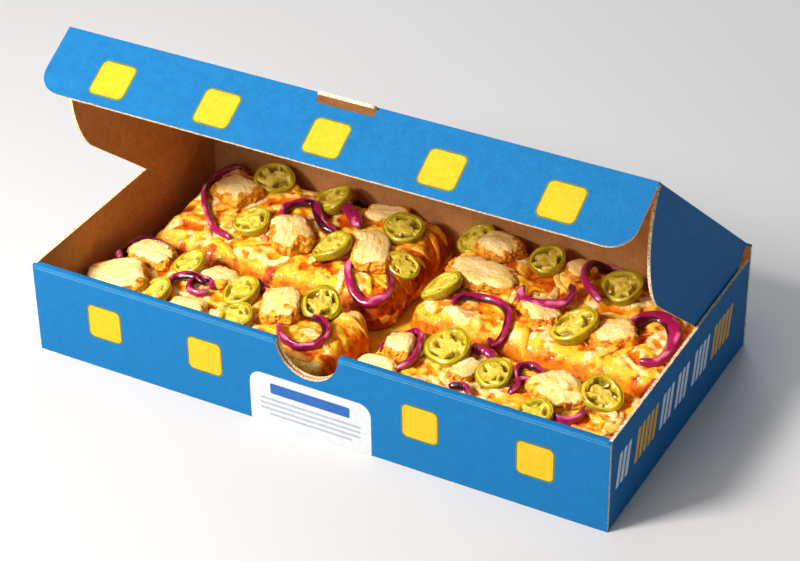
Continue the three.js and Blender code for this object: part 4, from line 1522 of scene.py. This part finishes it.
# %% [markdown]
# ## Loose fingers of cheese
# On top of the melted layer lie fingers that kept their shape, some over a topping's foot and some
# hanging from a slab's edge. Each is a flattened bar with round ends that follows the cheese.

# %% Loose cheese fingers
LOOSE_COUNT = 34
# Fingers that hang over a slab's edge: x, y and heading.
HANGING = {
    "back_left": [(-13, 72, 0.3), (-12, 64, -0.3), (-15, 55, 0.1), (-12, 46, 0.5), (-14, 34, -0.1),
                  (-12, 26, 0.3), (-15, 18, -0.4), (-36, 9, -1.5)],
    "back_right": [(14, 60, 3.3), (14, 50, 2.9), (74, 9, -1.2)],
    "front_right": [(14, -30, 3.4), (16, -45, 3.0)],
    "front_left": [(-12, -20, 0.3)],
}


def loose_finger(start, angle, length, width, bend, seed):
    """A flattened bar along a bent line that keeps to the cheese."""
    t = np.linspace(-0.5, 0.5, 20)
    heading = angle + bend * t
    step = stack(np.cos(heading), np.sin(heading)) * length / len(t)
    spine = lay_on_cheese(np.asarray(start) + np.cumsum(step, 0) - step.sum(0) / 2, 2.2)
    taper = np.sqrt(np.clip(1 - np.abs(2 * t) ** 3.2, 0.02, 1))
    spine[:, 2] += 0.16 * width * taper - 0.35
    turn = circle(14)
    section = stack(0.5 * width * np.cos(turn), 0.24 * width * np.sin(turn))
    rings = swept(spine, section * taper[:, None, None], 0.3 * np.sin(seed))
    return rings + 0.45 * lumps(rings, 3.2, seed)[..., None]


for place, spec in SLABS.items():
    draw = np.random.default_rng(spec["seed"] + 90)
    loose = Shape()
    (x0, x1), (y0, y1) = spec["x"], spec["y"]
    for _ in range(LOOSE_COUNT):
        spot = draw.uniform(x0 + 8, x1 - 8), draw.uniform(y0 + 7, y1 - 7)
        rings = loose_finger(spot, draw.uniform(0, np.pi), draw.uniform(10, 24),
                             draw.uniform(3.2, 5.4), draw.uniform(-1.1, 1.1), draw.integers(1, 9999))
        # The crest value sets how much of the painted highlight each finger takes.
        loose.add_tube(rings, melt=1.0, tone=draw.uniform(0, 1), toast=draw.uniform(0, 0.5),
                       crest=draw.uniform(0.4, 1))
    for x, y, angle in HANGING[place]:
        rings = loose_finger((x, y), angle, draw.uniform(12, 18), draw.uniform(3.2, 5.0),
                             draw.uniform(-1.2, 1.2), draw.integers(1, 9999))
        # Here too the crest value sets how much of the painted highlight each finger takes.
        loose.add_tube(rings, melt=1.0, tone=draw.uniform(0, 0.6), toast=0.2,
                       crest=draw.uniform(0.4, 0.9))
    make_food(f"cheese_fingers_{place}", loose, cheese_finish, False)

# %% [markdown]
# ## Size
# The box of the CAD model and the box of the finished one should agree, because looks change and the
# size of the real thing doesn't. Both are printed.

# %% Print the sizes
size = {"cad": [list(map(float, v)) for v in cad_bounds],
        "visual": [list(map(float, v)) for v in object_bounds()]}
print("cad box", size["cad"], "visual box", size["visual"])
